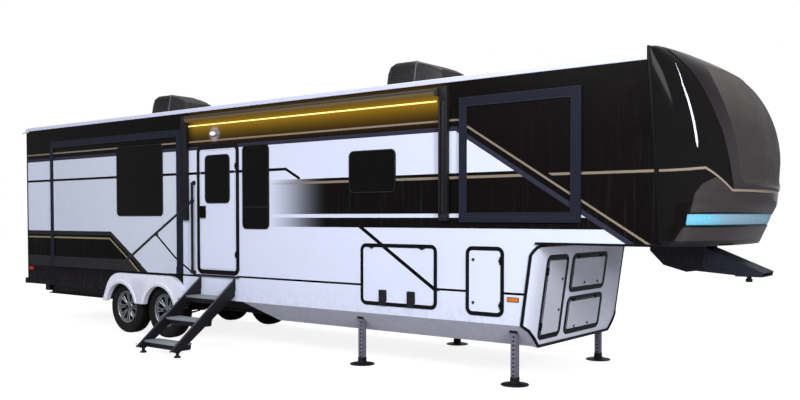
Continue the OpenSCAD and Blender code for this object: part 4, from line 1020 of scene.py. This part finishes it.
# Awning
arms = Piece()
for x0 in (4.632, 9.496):
    for a, b, deep in ((0.002, 0.028, 0.060), (0.102, 0.128, 0.060), (0.026, 0.104, 0.040)):
        arms.box((x0 + a, -HALF - deep, 1.895), (x0 + b, -HALF - 0.001, 3.497), 0.005)
    # Inner arm, its joint, feet and brackets
    arms.box((x0 + 0.036, -HALF - 0.056, 1.960), (x0 + 0.094, -HALF - 0.030, 3.360), 0.006)
    arms.box((x0 + 0.004, -HALF - 0.0615, 1.896), (x0 + 0.126, -HALF - 0.002, 1.975), 0.010)
    arms.box((x0 + 0.003, -HALF - 0.0615, 3.330), (x0 + 0.127, -HALF - 0.002, 3.498), 0.012)
    for z in (2.05, 2.62, 3.22):
        place = Matrix.Translation((x0 + 0.065, -HALF - 0.050, z)) @ Matrix.Rotation(math.pi / 2, 4, "X")
        arms.lathe([(0.0, 0.0), (0.020, 0.0), (0.020, 0.008), (0.012, 0.0105), (0.0, 0.011)], 20, place)
arms.make("awning_arms", BLACK_METAL, "trim", replaces=("awning",))
roll = Piece()
roll.loft([[Vector((x, -HALF - 0.062 + r * math.cos(a), 3.440 + r * math.sin(a))) for a in (2 * math.pi * k / 32 for k in range(32))]
           for x, r in ((4.766, 0.030), (4.766, 0.0505), (4.790, 0.0515), (4.792, 0.0475), (4.95, 0.0465), (6.2, 0.0475), (7.6, 0.0468),
                        (9.2, 0.0475), (9.466, 0.0475), (9.468, 0.0515), (9.492, 0.0505), (9.492, 0.030))])
cloth = Look("awning_cloth", (56, 50, 44), 0.6, specular=0.25)
cloth.shade(cloth.noise(3.0, 4.0, 0.6, stretch=(0.3, 4.0, 4.0)), 0.85, 1.2)
cloth.shade(cloth.noise(800.0, 1.0), 0.96, 1.04)
# Painted light: the roll's lower half glows gold, as if lit by the LED strip under it
cloth.glow(cloth.mix(cloth.z.lt(3.440) & cloth.x.between(4.79, 9.47), (0, 0, 0, 1), srgb(92, 72, 24)), 1.0)
cloth.bump(cloth.noise(260.0, 2.0, 0.6, stretch=(0.2, 2.0, 2.0)), 0.0012, 0.4)
roll.make("awning_roll", cloth.done(), "trim")
led = Piece()
led.loft([[Vector((x, -HALF - u, 3.331 + v)) for u, v in ((0.0, 0.0), (0.008, 0.0), (0.0125, 0.004), (0.0125, 0.013), (0.008, 0.017), (0.0, 0.017))]
          for x in (4.764, 4.766, 6.0, 7.0, 8.0, 9.43, 9.435)])
light = Look("light_strip", (255, 226, 130), 0.4)
dots = (light.x * 42.0).op("FRACT").near(0.5, 0.26)
spark = light.noise(60.0, 2.0, 0.7).ramp(0.35, 0.7, 0.55, 1.25)
light.colour = light.mix(spark, srgb(214, 158, 40), srgb(255, 232, 140))
light.glow(light.mix(dots, srgb(232, 180, 50), srgb(255, 244, 176)), 1.25)
led.make("awning_led", light.done(), "light_strip", replaces=("awning_light",))
porch = Piece()
place = Matrix.Translation((PORCH[0], -HALF, PORCH[1])) @ Matrix.Rotation(math.pi / 2, 4, "X") @ Matrix.Diagonal((1.35, 0.62, 1, 1))
porch.lathe([(0.0, 0.0), (0.090, 0.0), (0.090, 0.008), (0.082, 0.014), (0.078, 0.014), (0.070, 0.030), (0.045, 0.038), (0.0, 0.040)], 40, place)
bulb = Look("porch_lens", (112, 106, 108), 0.3, specular=0.3)
bulb.shade(bulb.noise(50.0), 0.9, 1.08)
core = (((bulb.x - PORCH[0]) * 0.74) ** 2.0 + ((bulb.z - PORCH[1]) * 1.6) ** 2.0).ramp(0.0026, 0.0012)
bulb.glow(bulb.mix(core, srgb(44, 40, 44), srgb(255, 253, 250)), 1.5)
porch.make("porch_light", bulb.done(), "trim")

# Gaskets round windows
seal = Look("gasket_rubber", (14, 14, 15), 0.5, specular=0.3)
seal.shade(seal.noise(30.0, 3.0), 0.8, 1.3)
seal.roughen(seal.noise(12.0), 0.4, 0.6)
seal.bump(seal.noise(300.0), 0.0005, 0.3)
SEAL = seal.done()
gaskets = Piece()
thin = ((-0.009, 0.009), (-0.009, 0.0125), (-0.004, 0.0145), (0.003, 0.0135), (0.006, 0.009), (0.006, -0.001), (-0.002, -0.001))
for to3d, rect in ((RIGHT, (5.984, 1.776, 0.543, 1.203, 0.07)), (RIGHT, (8.042, 2.260, 0.763, 0.537, 0.07)),
                   (LEFT, (8.042, 2.260, 0.763, 0.537, 0.07)), (LEFT, (9.900, 2.160, 0.560, 0.700, 0.07))):
    gaskets.frame(rect, thin, to3d)
    x, z, w, h, r = rect
    # Hinge bar of the pane's vent at its lower third
    if h > 1.0:
        for v in (-0.0, 0.014):
            gaskets.box((x + 0.02, min(to3d(0, 0, 0.0095).y, to3d(0, 0, 0.0125).y), z + 0.30 + v),
                        (x + w - 0.02, max(to3d(0, 0, 0.0095).y, to3d(0, 0, 0.0125).y), z + 0.308 + v), 0.001)
gaskets.make("wall_gaskets", SEAL, "glazing")


def shifted(to3d, d):
    return lambda u, v, out: to3d(u, v, out + d)


for body, name, rects in (
        ("room_rear_right", "gasket_room_right", ((RIGHT, (2.911, 1.967, 1.225, 1.139, 0.07)),)),
        ("room_left", "gasket_room_left", ((LEFT, (1.750, 1.967, 1.300, 0.900, 0.07)), (LEFT, (4.300, 2.160, 0.900, 0.640, 0.07)))),
        ("entry_door_leaf", "gasket_entry", ((RIGHT, (5.159, 2.156, 0.543, 0.717, 0.07)),))):
    g = Piece()
    back = 0.0080 if body == "entry_door_leaf" else 0.0233
    for to3d, rect in rects:
        g.frame(rect, thin, shifted(to3d, back))
    g.make(name, SEAL, "glazing", body)

# Slide rooms: beads and ridges on their flanges
for body, name, side, x0, z0, w, h in (("room_rear_right", "rear", -1, 0.856, 1.052, 3.750, 2.256),
                                       ("room_front_right", "front", -1, 9.781, 1.882, 1.561, 1.470),
                                       ("room_left", "left", 1, 1.350, 1.052, 4.600, 2.256)):
    flange, ridge = Piece(), shifted(on_side(side), 0.0353)
    edge = ((-0.006, -0.010), (-0.006, 0.0025), (-0.002, 0.0045), (0.004, 0.0035), (0.006, 0.0), (0.006, -0.010))
    rib = ((-0.004, -0.002), (-0.004, 0.0015), (0.0, 0.003), (0.004, 0.0015), (0.004, -0.002))
    if name == "front":
        for u in (0.008, 0.108):
            flange.frame((x0 + u, z0 + u, w - 2 * u, h - 2 * u, 0.008), edge, ridge)
        for u in (0.026, 0.046, 0.066, 0.086):
            flange.frame((x0 + u, z0 + u, w - 2 * u, h - 2 * u, 0.006), rib, ridge)
    else:
        # The panel runs down over the foot of the flange, so the beads are on the posts and the head
        for x in (x0 + 0.008, x0 + 0.106, x0 + w - 0.106, x0 + w - 0.008):
            flange.loft([[ridge(x + u, z, v) for u, v in edge[:-1]] for z in (z0 + 0.002, z0 + h - 0.008)])
        for z in (z0 + h - 0.008, z0 + h - 0.106):
            flange.loft([[ridge(x, z + u, v) for u, v in edge[:-1]] for x in (x0 + 0.008, x0 + w - 0.008)])
    for n in range(int(h / 0.42)):
        for u in (x0 + 0.058, x0 + w - 0.058):
            z = z0 + 0.16 + 0.42 * n
            flange.plate((u - 0.007, z - 0.007, 0.014, 0.014, 0.0068), 0.0, 0.0042, ridge, 0.0015)
    flange_mat = plain("flange_" + name, (31, 33, 46), 0.34, 0.06, 5.0, 0.0004, 400.0, specular=0.14)
    flange.make("flange_" + name, flange_mat.done(), "room_skin", body)

# Entry door: lock with two handles, and threshold
lock = Piece()
DOOR_X, DOOR_Z = 5.022, 1.151
face = -HALF - 0.0083
lock.box((DOOR_X + 0.022, face - 0.010, 1.934), (DOOR_X + 0.138, face + 0.002, 2.113), 0.006)
lock.box((DOOR_X + 0.030, face - 0.0245, 2.030), (DOOR_X + 0.132, face - 0.012, 2.058), 0.005)
lock.box((DOOR_X + 0.030, face - 0.0245, 2.026), (DOOR_X + 0.050, face - 0.008, 2.062), 0.005)
lock.box((DOOR_X + 0.034, face - 0.019, 1.950), (DOOR_X + 0.126, face - 0.008, 2.000), 0.005)
for x, z in ((0.062, 1.974), (0.066, 2.086)):
    place = Matrix.Translation((DOOR_X + x, face - 0.008, z)) @ Matrix.Rotation(math.pi / 2, 4, "X")
    lock.lathe([(0.0, 0.0), (0.014, 0.0), (0.014, 0.008), (0.010, 0.012), (0.0, 0.012)], 24, place)
lock.make("entry_lock", BLACK_TRIM, "frames", "entry_door_leaf")
bead = Piece()
bead.frame((DOOR_X + 0.018, DOOR_Z + 0.018, 0.773, 1.776, 0.030),
           ((-0.004, -0.001), (-0.004, 0.0015), (0.0, 0.003), (0.004, 0.0015), (0.004, -0.001)), shifted(RIGHT, 0.0082))
bead.make("entry_bead", plain("door_bead", (176, 180, 194), 0.3, 0.04, 9.0).done(), "door_skin", "entry_door_leaf")
sill = Piece()
sill.box((4.950, -HALF - 0.040, 1.046), (5.902, -HALF - 0.001, 1.072), 0.006)
for k in range(3):
    sill.box((4.970, -HALF - 0.038 + 0.011 * k, 1.0715), (5.882, -HALF - 0.032 + 0.011 * k, 1.0745), 0.001)
sill.make("entry_sill", BLACK_METAL, "frames")

# Grab bar and handrail
grip = Piece()
GRAB = (4.880, -HALF - 0.045)
bar = [(GRAB[0], -HALF - 0.002, 1.090), (GRAB[0], -HALF - 0.030, 1.084), (*GRAB, 1.098), (*GRAB, 1.30), (*GRAB, 2.30),
       (*GRAB, 2.462), (GRAB[0], -HALF - 0.030, 2.476), (GRAB[0], -HALF - 0.002, 2.470)]
grip.tube(bar, 0.020, 16)
for z in (1.090, 2.470):
    grip.lathe([(0.0, 0.0), (0.036, 0.0), (0.036, 0.006), (0.026, 0.010), (0.0, 0.010)], 28,
               Matrix.Translation((GRAB[0], -HALF, z)) @ Matrix.Rotation(math.pi / 2, 4, "X"))
grip.tube([(GRAB[0], GRAB[1], 2.190), (GRAB[0], GRAB[1] - 0.08, 2.131), (GRAB[0], -2.0, 1.676), (GRAB[0], -2.500, 1.301),
           (GRAB[0], -2.512, 1.292)], 0.0175, 16)
grip.tube([(GRAB[0], GRAB[1], 1.092), (GRAB[0], GRAB[1] - 0.33, 1.345), (GRAB[0], GRAB[1] - 0.664, 1.690)], 0.0125, 14)
for y, z in ((GRAB[1], 2.190), (GRAB[1], 1.105), (GRAB[1] - 0.664, 1.690)):
    grip.lathe([(0.0, -0.024), (0.024, -0.024), (0.0265, -0.020), (0.0265, 0.020), (0.024, 0.024), (0.0, 0.024)], 20,
               Matrix.Translation((GRAB[0], y, z)) @ Matrix.Rotation(math.pi / 2, 4, "Y"))
grip.make("hand_rails", BLACK_METAL, "rails", replaces=("handrails",))

# Hatches: latches with their pulls, and lock dots
latches = Piece()
for side in (-1, 1):
    for x in (8.606, 9.057):
        a, b = sorted((side * (HALF + 0.004), side * (HALF + 0.020)))
        latches.box((x - 0.062, a, 0.868), (x + 0.062, b, 1.018), 0.014, 3)
        a, b = sorted((side * (HALF + 0.0105), side * (HALF + 0.032)))
        latches.box((x - 0.056, a, 0.818), (x + 0.056, b, 0.930), 0.010, 3)
        place = Matrix.Translation((x, side * (HALF + 0.020), 0.978)) @ Matrix.Rotation(-side * math.pi / 2, 4, "X")
        latches.lathe([(0.0, -0.004), (0.013, -0.004), (0.013, 0.005), (0.009, 0.008), (0.0, 0.008)], 20, place)
    latches.make("hatch_latches_" + ("right" if side < 0 else "left"), BLACK_METAL, "frames",
                 "hatch_large" if side < 0 else "hatch_left_side")
    latches = Piece()
dots = Piece()
for z in (0.938, 1.445):
    place = Matrix.Translation((9.970, -HALF - 0.007, z)) @ Matrix.Rotation(math.pi / 2, 4, "X")
    dots.lathe([(0.0, 0.0), (0.019, 0.0), (0.019, 0.006), (0.014, 0.010), (0.0, 0.0105)], 28, place)
dots.make("hatch_locks", BLACK_METAL, "frames", "hatch_small")

# Locks of the front doors
C, S = math.cos(TILT), math.sin(TILT)


def wall_height(z):
    """Height along the leaned wall of a height above the ground."""
    return (z - DECK_Z + (FRONT_BOW + 0.008) * S) / C - (BELLY_Z - DECK_Z) / C


lean_turn = Matrix.Rotation(math.radians(90) + TILT, 4, "Y")
for body, spots in (("nose_door_tall", ((-0.560, 1.212), (-0.560, 0.846))), ("nose_door_upper", ((0.045, 1.136), (0.418, 1.133))),
                    ("nose_door_lower", ((-0.087, 0.600), (0.280, 0.608)))):
    d = Piece()
    for y, z in spots:
        d.lathe([(0.0, 0.0), (0.017, 0.0), (0.017, 0.006), (0.012, 0.010), (0.0, 0.0105)], 28,
                Matrix.Translation(on_front(y, wall_height(z), 0.008)) @ lean_turn)
    d.make("locks_" + body, BLACK_METAL, "frames", body)
bead_line = ((-0.014, 0.0), (-0.014, 0.003), (-0.012, 0.0045), (-0.004, 0.0045), (-0.001, 0.003), (-0.001, 0.0))
for body, rect in (("nose_door_tall", (-0.945, 0.140, 0.450, 0.900, 0.040)), ("nose_door_upper", (-0.300, 0.660, 0.890, 0.380, 0.040)),
                   ("nose_door_lower", (-0.300, 0.140, 0.890, 0.370, 0.040))):
    d = Piece()
    d.frame(rect, bead_line, shifted(on_front, 0.0078))
    d.make("bead_" + body, BLACK_TRIM, "frames", body)

# Trim of the lower front wall and along the overhang's edge
edging = Piece()
for s in (-1, 1):
    edging.loft([[Vector((x, s * (HALF + v), 1.640 + w)) for v, w in ((-0.014, -0.0045), (0.003, -0.0045), (0.0065, -0.001), (0.0065, 0.018), (0.003, 0.022), (-0.001, 0.022))]
                 for x in (10.785, 11.0, 11.6, 12.220)])
    # Rear corner trim
    edging.loft([[Vector((u, s * (HALF + v), z)) for u, v in ((-0.006, -0.020), (-0.006, 0.002), (-0.003, 0.006), (0.022, 0.006), (0.026, 0.0), (0.0, -0.001), (-0.001, -0.020))]
                 for z in (0.706, 1.5, 2.5, 3.552)])


def bow(y):
    """How far the lower front wall stands ahead of its side edges at a place across."""
    t = max(0.0, (abs(y) - 1.000) / 0.250)
    return FRONT_BOW * math.sqrt(max(0.0, 1 - t * t))


def nose_wall(y, z, out=0.0):
    ahead = bow(y) + out
    return on_front(y, (z - DECK_Z + ahead * S) / C - (BELLY_Z - DECK_Z) / C, ahead - FRONT_BOW)


def rim_side(y):
    """Half of the black rim of the lower front wall: up along the edge and round its corner."""
    turn = [math.pi / 16 * k for k in range(9)]
    return [(y, z) for z in (0.708, 0.90, 1.20)] + [
        (y - 0.11 * (1 - math.cos(a)), 1.51 + 0.11 * math.sin(a)) for a in turn]


rim = [(-y, z) for y, z in rim_side(1.250)] + [(y, 1.622) for y in (-0.9, -0.5, 0.0, 0.5, 0.9)]
rim += list(reversed(rim_side(1.238)))
rim += [(y, 0.447 + max(0.0, abs(y) - 0.950) * 0.883) for y in (1.18, 1.10, 1.02, 0.95, 0.5, 0.0, -0.5, -0.95, -1.02, -1.10, -1.18)]
edging.tube([nose_wall(y, z, 0.006) for y, z in rim], 0.019, 12, closed=True)
edging.make("edge_trim", BLACK_TRIM, "trim")

# Fender lips
lips = Piece()
for s in (-1, 1):
    for x in WHEEL_XS:
        arc = [math.radians(a) for a in range(14, 167, 4)]
        loops = []
        for a in arc:
            c = Vector((x + 0.404 * math.cos(a), s * (HALF + 0.074), WHEEL_Z + 0.404 * math.sin(a)))
            out = Vector((math.cos(a), 0, math.sin(a)))
            loops.append([c + out * u + Vector((0, s * v, 0)) for u, v in
                          ((0.0, -0.012), (0.0, 0.006), (0.006, 0.010), (0.048, 0.012), (0.060, 0.005), (0.062, -0.004))])
        lips.loft(loops)
lips.make("fender_lips", plain("fender_lip_gelcoat", (226, 229, 240), 0.26, 0.02, 3.0, 0.0003, 250.0).done(), "fender")

# Steps
stairs, treads, lip = Piece(), Piece(), Piece()
OUT, TOP = 1.180, 1.040
for x in (5.016, 5.788):
    outline = [(-HALF - 0.012, TOP - 0.002), (-HALF - 0.5 * OUT, TOP - 0.002 - 0.945 * (0.5 * OUT - 0.012) / (OUT - 0.012)),
               (-HALF - OUT + 0.003, 0.097), (-HALF - OUT + 0.150, 0.052), (-HALF - 0.012, TOP - 0.265)]
    stairs.prism([(y, z) for y, z in outline], x + 0.001, x + 0.023, "x", 0.003)
    # Stiffening lip along the upper edge
    lip.loft([[Vector((x + u, -HALF - d, z + v)) for u, v in ((0.0, -0.012), (0.0, 0.0), (0.024, 0.0), (0.024, -0.012))]
                 for d, z in ((0.016, TOP - 0.004), (OUT - 0.006, 0.098))])
    stairs.box((x, -HALF - 0.010, TOP - 0.188), (x + 0.024, -HALF - 0.001, TOP - 0.001), 0.002)
    y = -HALF - OUT + 0.130
    foot = Matrix.Translation((x + 0.012, y, 0.0))
    stairs.lathe([(0.0, 0.0005), (0.048, 0.0005), (0.048, 0.014), (0.038, 0.024), (0.024, 0.032), (0.021, 0.078), (0.0, 0.080)], 32, foot)
    stairs.lathe([(0.0, 0.012)] + [(0.0085 - 0.0014 * (k % 2), 0.020 + 0.006 * k) for k in range(29)] + [(0.0, 0.196)], 16, foot)
    stairs.lathe([(0.0, 0.120), (0.016, 0.120), (0.016, 0.134), (0.0, 0.134)], 6, foot)
    for k in range(3):
        bolt = Matrix.Translation((x + (0.0 if x < 5.2 else 0.024), -HALF - 0.42 - 0.372 * k, 0.725 - 0.295 * k)) @ Matrix.Rotation((-1 if x < 5.2 else 1) * math.pi / 2, 4, "Y")
        stairs.lathe([(0.0, -0.001), (0.012, -0.001), (0.012, 0.0), (0.0, 0.0005)], 6, bolt)
for k in range(3):
    y0, z0 = -HALF - 0.295 - 0.372 * k, 0.740 - 0.295 * k
    treads.box((5.0405, y0 + 0.001, z0 + 0.001), (5.7875, y0 + 0.249, z0 + 0.025), 0.004)
    for n in range(12):
        y = y0 + 0.014 + 0.0195 * n
        treads.box((5.046, y, z0 + 0.0245), (5.782, y + 0.008, z0 + 0.0315), 0.002)
    treads.box((5.0405, y0 + 0.0005, z0 - 0.0), (5.7875, y0 + 0.012, z0 + 0.0318), 0.003)
    # Dark pan under the tread; its dark stands in for the shade below the tread
    stairs.prism([(y0 + 0.012, z0 + 0.001), (y0 + 0.012, z0 - 0.055), (y0 + 0.030, z0 - 0.070), (y0 + 0.215, z0 - 0.070),
                  (y0 + 0.236, z0 - 0.050), (y0 + 0.236, z0 + 0.001)], 5.0405, 5.7875, "x", 0.002)
stairs.make("step_stringers", BLACK_METAL, "steps", replaces=("entry_steps",))
tread_look = Look("tread_alloy", (152, 160, 168), 0.34, metal=0.35, specular=0.5)
tread_look.shade(tread_look.noise(9.0, 4.0, 0.6, stretch=(0.3, 3.0, 1.0)), 0.75, 1.1)
tread_look.dirt_and_shade(tread_look.noise(24.0, 5.0, 0.7).ramp(0.5, 0.75), (70, 64, 58), 0.35)
tread_look.roughen(tread_look.noise(30.0), 0.3, 0.55)
treads.make("step_treads", tread_look.done(), "steps")
lip.make("step_edges", plain("step_edge", (84, 86, 94), 0.36, 0.1, 9.0, 0.0004, 300.0, metal=0.3).done(), "steps")

# Landing legs
LEG_XS, LEG_Y = (8.150, 10.460), 1.125
posts, feet = Piece(), Piece()
for x in LEG_XS:
    for s in (-1, 1):
        y, w, t = s * LEG_Y, 0.0375, 0.006
        # Tube with a row of round holes in its two faces across the trailer
        top = 0.714
        for face in (-1, 1):
            posts.box((x - w, min(y + face * w, y + face * (w - t)), 0.030), (x - 0.014, max(y + face * w, y + face * (w - t)), top), 0.002)
            posts.box((x + 0.014, min(y + face * w, y + face * (w - t)), 0.030), (x + w, max(y + face * w, y + face * (w - t)), top), 0.002)
            n = 12
            zs = [0.060 + 0.050 * k for k in range(n)]
            bars = [(0.030, zs[0] - 0.009)] + [(a + 0.009, b - 0.009) for a, b in zip(zs, zs[1:])] + [(zs[-1] + 0.009, top)]
            for a, b in bars:
                posts.box((x - 0.016, min(y + face * w, y + face * (w - t)), a), (x + 0.016, max(y + face * w, y + face * (w - t)), b), 0.004)
            posts.box((min(x + face * w, x + face * (w - t)), y - w, 0.030), (max(x + face * w, x + face * (w - t)), y + w, top), 0.002)
        posts.box((x - 0.028, y - 0.028, 0.034), (x + 0.028, y + 0.028, 0.40), 0.004)
        place = Matrix.Translation((x, y, 0.0))
        feet.lathe([(0.0, 0.0005), (0.163, 0.0005), (0.164, 0.006), (0.160, 0.0135), (0.120, 0.0138), (0.095, 0.020), (0.062, 0.026), (0.058, 0.048),
                    (0.050, 0.055), (0.0, 0.055)], 48, place)
        feet.box((x - 0.042, y - 0.042, 0.050), (x + 0.042, y + 0.042, 0.096), 0.005)
        feet.box((x - 0.052, y - 0.048, 0.606), (x + 0.052, y + 0.048, 0.704), 0.006)
holes = Look("leg_steel", (110, 109, 124), 0.40, metal=0.15, specular=0.4)
holes.shade(holes.noise(10.0, 4.0, 0.6), 0.85, 1.12)
# Painted shade: the inner post seen through the holes is painted near black
holes.paint(((holes.y.abs() - LEG_Y).abs().lt(0.0300)) & (holes.x - 8.150).abs().min((holes.x - 10.460).abs()).lt(0.0300), (16, 16, 18))
holes.dirt_and_shade(holes.noise(30.0, 5.0, 0.7).ramp(0.55, 0.8), (120, 84, 56), 0.12)
holes.bump(holes.noise(300.0), 0.0005, 0.2)
posts.make("leg_tubes", holes.done(), "leg_steel", replaces=("landing_legs",))
feet.make("leg_feet", BLACK_METAL, "leg_steel")

# Side, rear and tail lamps
amber_lamp, red_lamp, base = Piece(), Piece(), Piece()
for s in (-1, 1):
    for piece, x, z, w, h in ((amber_lamp, 10.425, 0.970, 0.157, 0.059), (red_lamp, 0.048, 0.956, 0.160, 0.072)):
        to3d = on_side(s)
        base.plate((x + 0.001, z + 0.001, w - 0.002, h - 0.002, 0.006), 0.0, 0.006, to3d, 0.002)
        piece.plate((x + 0.009, z + 0.008, w - 0.018, h - 0.016, 0.006), 0.004, 0.0135, to3d, 0.004)
    y = s * (HALF - 0.120 - 0.045)
    base.plate((y - 0.044, 1.061, 0.088, 0.358, 0.012), 0.0, 0.010, on_rear, 0.003)
    for k in range(3):
        red_lamp.plate((y - 0.036, 1.070 + 0.116 * k, 0.072, 0.108, 0.010), 0.008, 0.0215, on_rear, 0.005)
base.make("lamp_bases", BLACK_TRIM, "amber_lens", replaces=("marker_lamps",))
for piece, name, colour in ((amber_lamp, "amber_lens", (190, 100, 30)), (red_lamp, "red_lens", (176, 26, 24))):
    k = Look(name, colour, 0.16, specular=0.5)
    k.shade(k.cells(90.0), 0.75, 1.15)
    k.roughen(k.noise(40.0), 0.1, 0.25)
    k.glow(srgb(*colour), 0.18)
    k.bump((k.z * 160.0).op("FRACT"), 0.0012, 0.4)
    piece.make(name + "es", k.done(), "amber_lens")

# Ladder feet and rear bumper ends
pads = Piece()
for y in (0.500, 0.900):
    for z in (0.950, 2.200, 3.450):
        pads.plate((y - 0.030, z - 0.045, 0.060, 0.090, 0.020), 0.0, 0.008, on_rear, 0.003)
    for k in range(9):
        z = 1.050 + 0.300 * k
        if z < 3.46:
            place = Matrix.Translation((-0.130, y, z)) @ Matrix.Rotation(math.pi / 2, 4, "X")
            pads.lathe([(0.0125, -0.024), (0.017, -0.022), (0.017, 0.022), (0.0125, 0.024)], 20, place)
# Caps on the ends of the bumper's tube
ends = Piece()
for s in (-1, 1):
    ends.box((-0.130, *sorted((s * 1.090, s * 1.246))[:1], 0.700), (-0.003, *sorted((s * 1.090, s * 1.246))[1:], 0.803), 0.010, 3)
    for z in (0.728, 0.775):
        ends.lathe([(0.0, 0.0), (0.010, 0.0), (0.010, 0.003), (0.0, 0.004)], 16,
                   Matrix.Translation((-0.130, s * 1.168, z)) @ Matrix.Rotation(-math.pi / 2, 4, "Y"))
ends.make("bumper_caps", BLACK_METAL, "chassis")
pads.make("ladder_pads", plain("ladder_pad", (150, 152, 158), 0.35, 0.06, 14.0, metal=0.7).done(), "ladder_alloy")

# Pin box: bolts and ribs
bolts = Piece()
for s in (-1, 1):
    for x, z in ((11.80, 1.560), (11.92, 1.585), (12.04, 1.590), (11.86, 1.470), (12.02, 1.470), (12.18, 1.500), (12.40, 1.405), (12.52, 1.380), (12.70, 1.345)):
        place = Matrix.Translation((x, s * 0.209, z)) @ Matrix.Rotation(-s * math.pi / 2, 4, "X")
        bolts.lathe([(0.0, 0.0), (0.022, 0.0), (0.022, 0.0025), (0.013, 0.003), (0.013, 0.013), (0.009, 0.016), (0.0, 0.016)], 6, place)
    bolts.prism([(12.300, 1.395), (12.330, 1.395), (12.350, 1.560), (12.318, 1.560)], *sorted((s * 0.208, s * 0.222)), "y", 0.002)
bolts.make("pin_bolts", plain("bolt_steel", (34, 34, 42), 0.4, 0.1, 30.0, metal=0.4).done(), "chassis")


# Camera, lamps, floor


def camera():
    data = bpy.data.cameras.new("camera")
    data.lens, data.sensor_width = 38.475, 36.0
    data.shift_y = 0.05375
    data.clip_start, data.clip_end = 0.1, 200.0
    cam = bpy.data.objects.new("camera", data)
    cam.location = (2.689, -9.727, 0.704)
    cam.rotation_euler = Vector((-0.6113, 0.7909, -0.0297)).to_track_quat("-Z", "Y").to_euler()
    bpy.context.scene.collection.objects.link(cam)
    bpy.context.scene.camera = cam


def world():
    w = bpy.data.worlds.new("studio")
    bpy.context.scene.world = w
    w.use_nodes = True
    t = w.node_tree
    t.nodes.clear()
    out = t.nodes.new("ShaderNodeOutputWorld")
    path = t.nodes.new("ShaderNodeLightPath")
    also = t.nodes.new("ShaderNodeMath")
    also.operation = "MAXIMUM"
    t.links.new(path.outputs["Is Camera Ray"], also.inputs[0])
    t.links.new(path.outputs["Is Transmission Ray"], also.inputs[1])
    light, back = t.nodes.new("ShaderNodeBackground"), t.nodes.new("ShaderNodeBackground")
    light.inputs[0].default_value = (0.96, 0.97, 1.0, 1.0)
    light.inputs[1].default_value = WORLD_LIGHT
    back.inputs[0].default_value = (1.0, 1.0, 1.0, 1.0)
    both = t.nodes.new("ShaderNodeMixShader")
    t.links.new(also.outputs[0], both.inputs[0])
    t.links.new(light.outputs[0], both.inputs[1])
    t.links.new(back.outputs[0], both.inputs[2])
    t.links.new(both.outputs[0], out.inputs[0])


def area_lamp(name, place, aim, size, power, mirrored=True):
    data = bpy.data.lights.new(name, "AREA")
    data.shape, data.size, data.size_y = "RECTANGLE", size[0], size[1]
    data.energy = power
    ob = bpy.data.objects.new(name, data)
    ob.location = place
    ob.rotation_euler = (Vector(aim) - Vector(place)).to_track_quat("-Z", "Y").to_euler()
    ob.visible_glossy = mirrored
    bpy.context.scene.collection.objects.link(ob)


def floor():
    """A pale floor: white to the camera, with the trailer's soft shadow."""
    m = bpy.data.materials.new("floor_paint")
    m.use_nodes = True
    t = m.node_tree
    bsdf = t.nodes["Principled BSDF"]
    bsdf.inputs["Base Color"].default_value = (0.34, 0.34, 0.36, 1.0)
    bsdf.inputs["Roughness"].default_value = 0.9
    bsdf.inputs["Specular IOR Level"].default_value = 0.0
    path = t.nodes.new("ShaderNodeLightPath")
    add = t.nodes.new("ShaderNodeAddShader")
    glow = t.nodes.new("ShaderNodeEmission")
    t.links.new(path.outputs["Is Camera Ray"], glow.inputs["Strength"])
    glow.inputs["Color"].default_value = (FLOOR_LIFT, FLOOR_LIFT, FLOOR_LIFT, 1.0)
    t.links.new(bsdf.outputs[0], add.inputs[0])
    t.links.new(glow.outputs[0], add.inputs[1])
    t.links.new(add.outputs[0], t.nodes["Material Output"].inputs[0])
    mesh = bpy.data.meshes.new("floor")
    s, z = 90.0, -PIN.z - 0.001
    mesh.from_pydata([(-s, -s, z), (s, -s, z), (s, s, z), (-s, s, z)], [], [(0, 1, 2, 3)])
    mesh.materials.append(m)
    ob = bpy.data.objects.new("floor", mesh)
    bpy.context.scene.collection.objects.link(ob)


WORLD_LIGHT = 0.42
FLOOR_LIFT = 0.86
camera()
world()
floor()
area_lamp("lamp_side", (-4.0, -16.0, 9.0), (-6.0, 0.0, 0.5), (16.0, 7.0), 1800.0)
area_lamp("lamp_front", (8.4, -8.2, 4.6), (-1.6, 0.0, 0.2), (2.0, 3.4), 1050.0, mirrored=False)
area_lamp("lamp_low", (9.0, -7.6, 1.0), (-2.2, 0.0, -0.3), (2.4, 1.4), 420.0, mirrored=False)
area_lamp("lamp_top", (-5.0, 2.0, 14.0), (-6.0, 0.0, 1.0), (18.0, 8.0), 1100.0)
bpy.context.scene.view_settings.view_transform = "Standard"
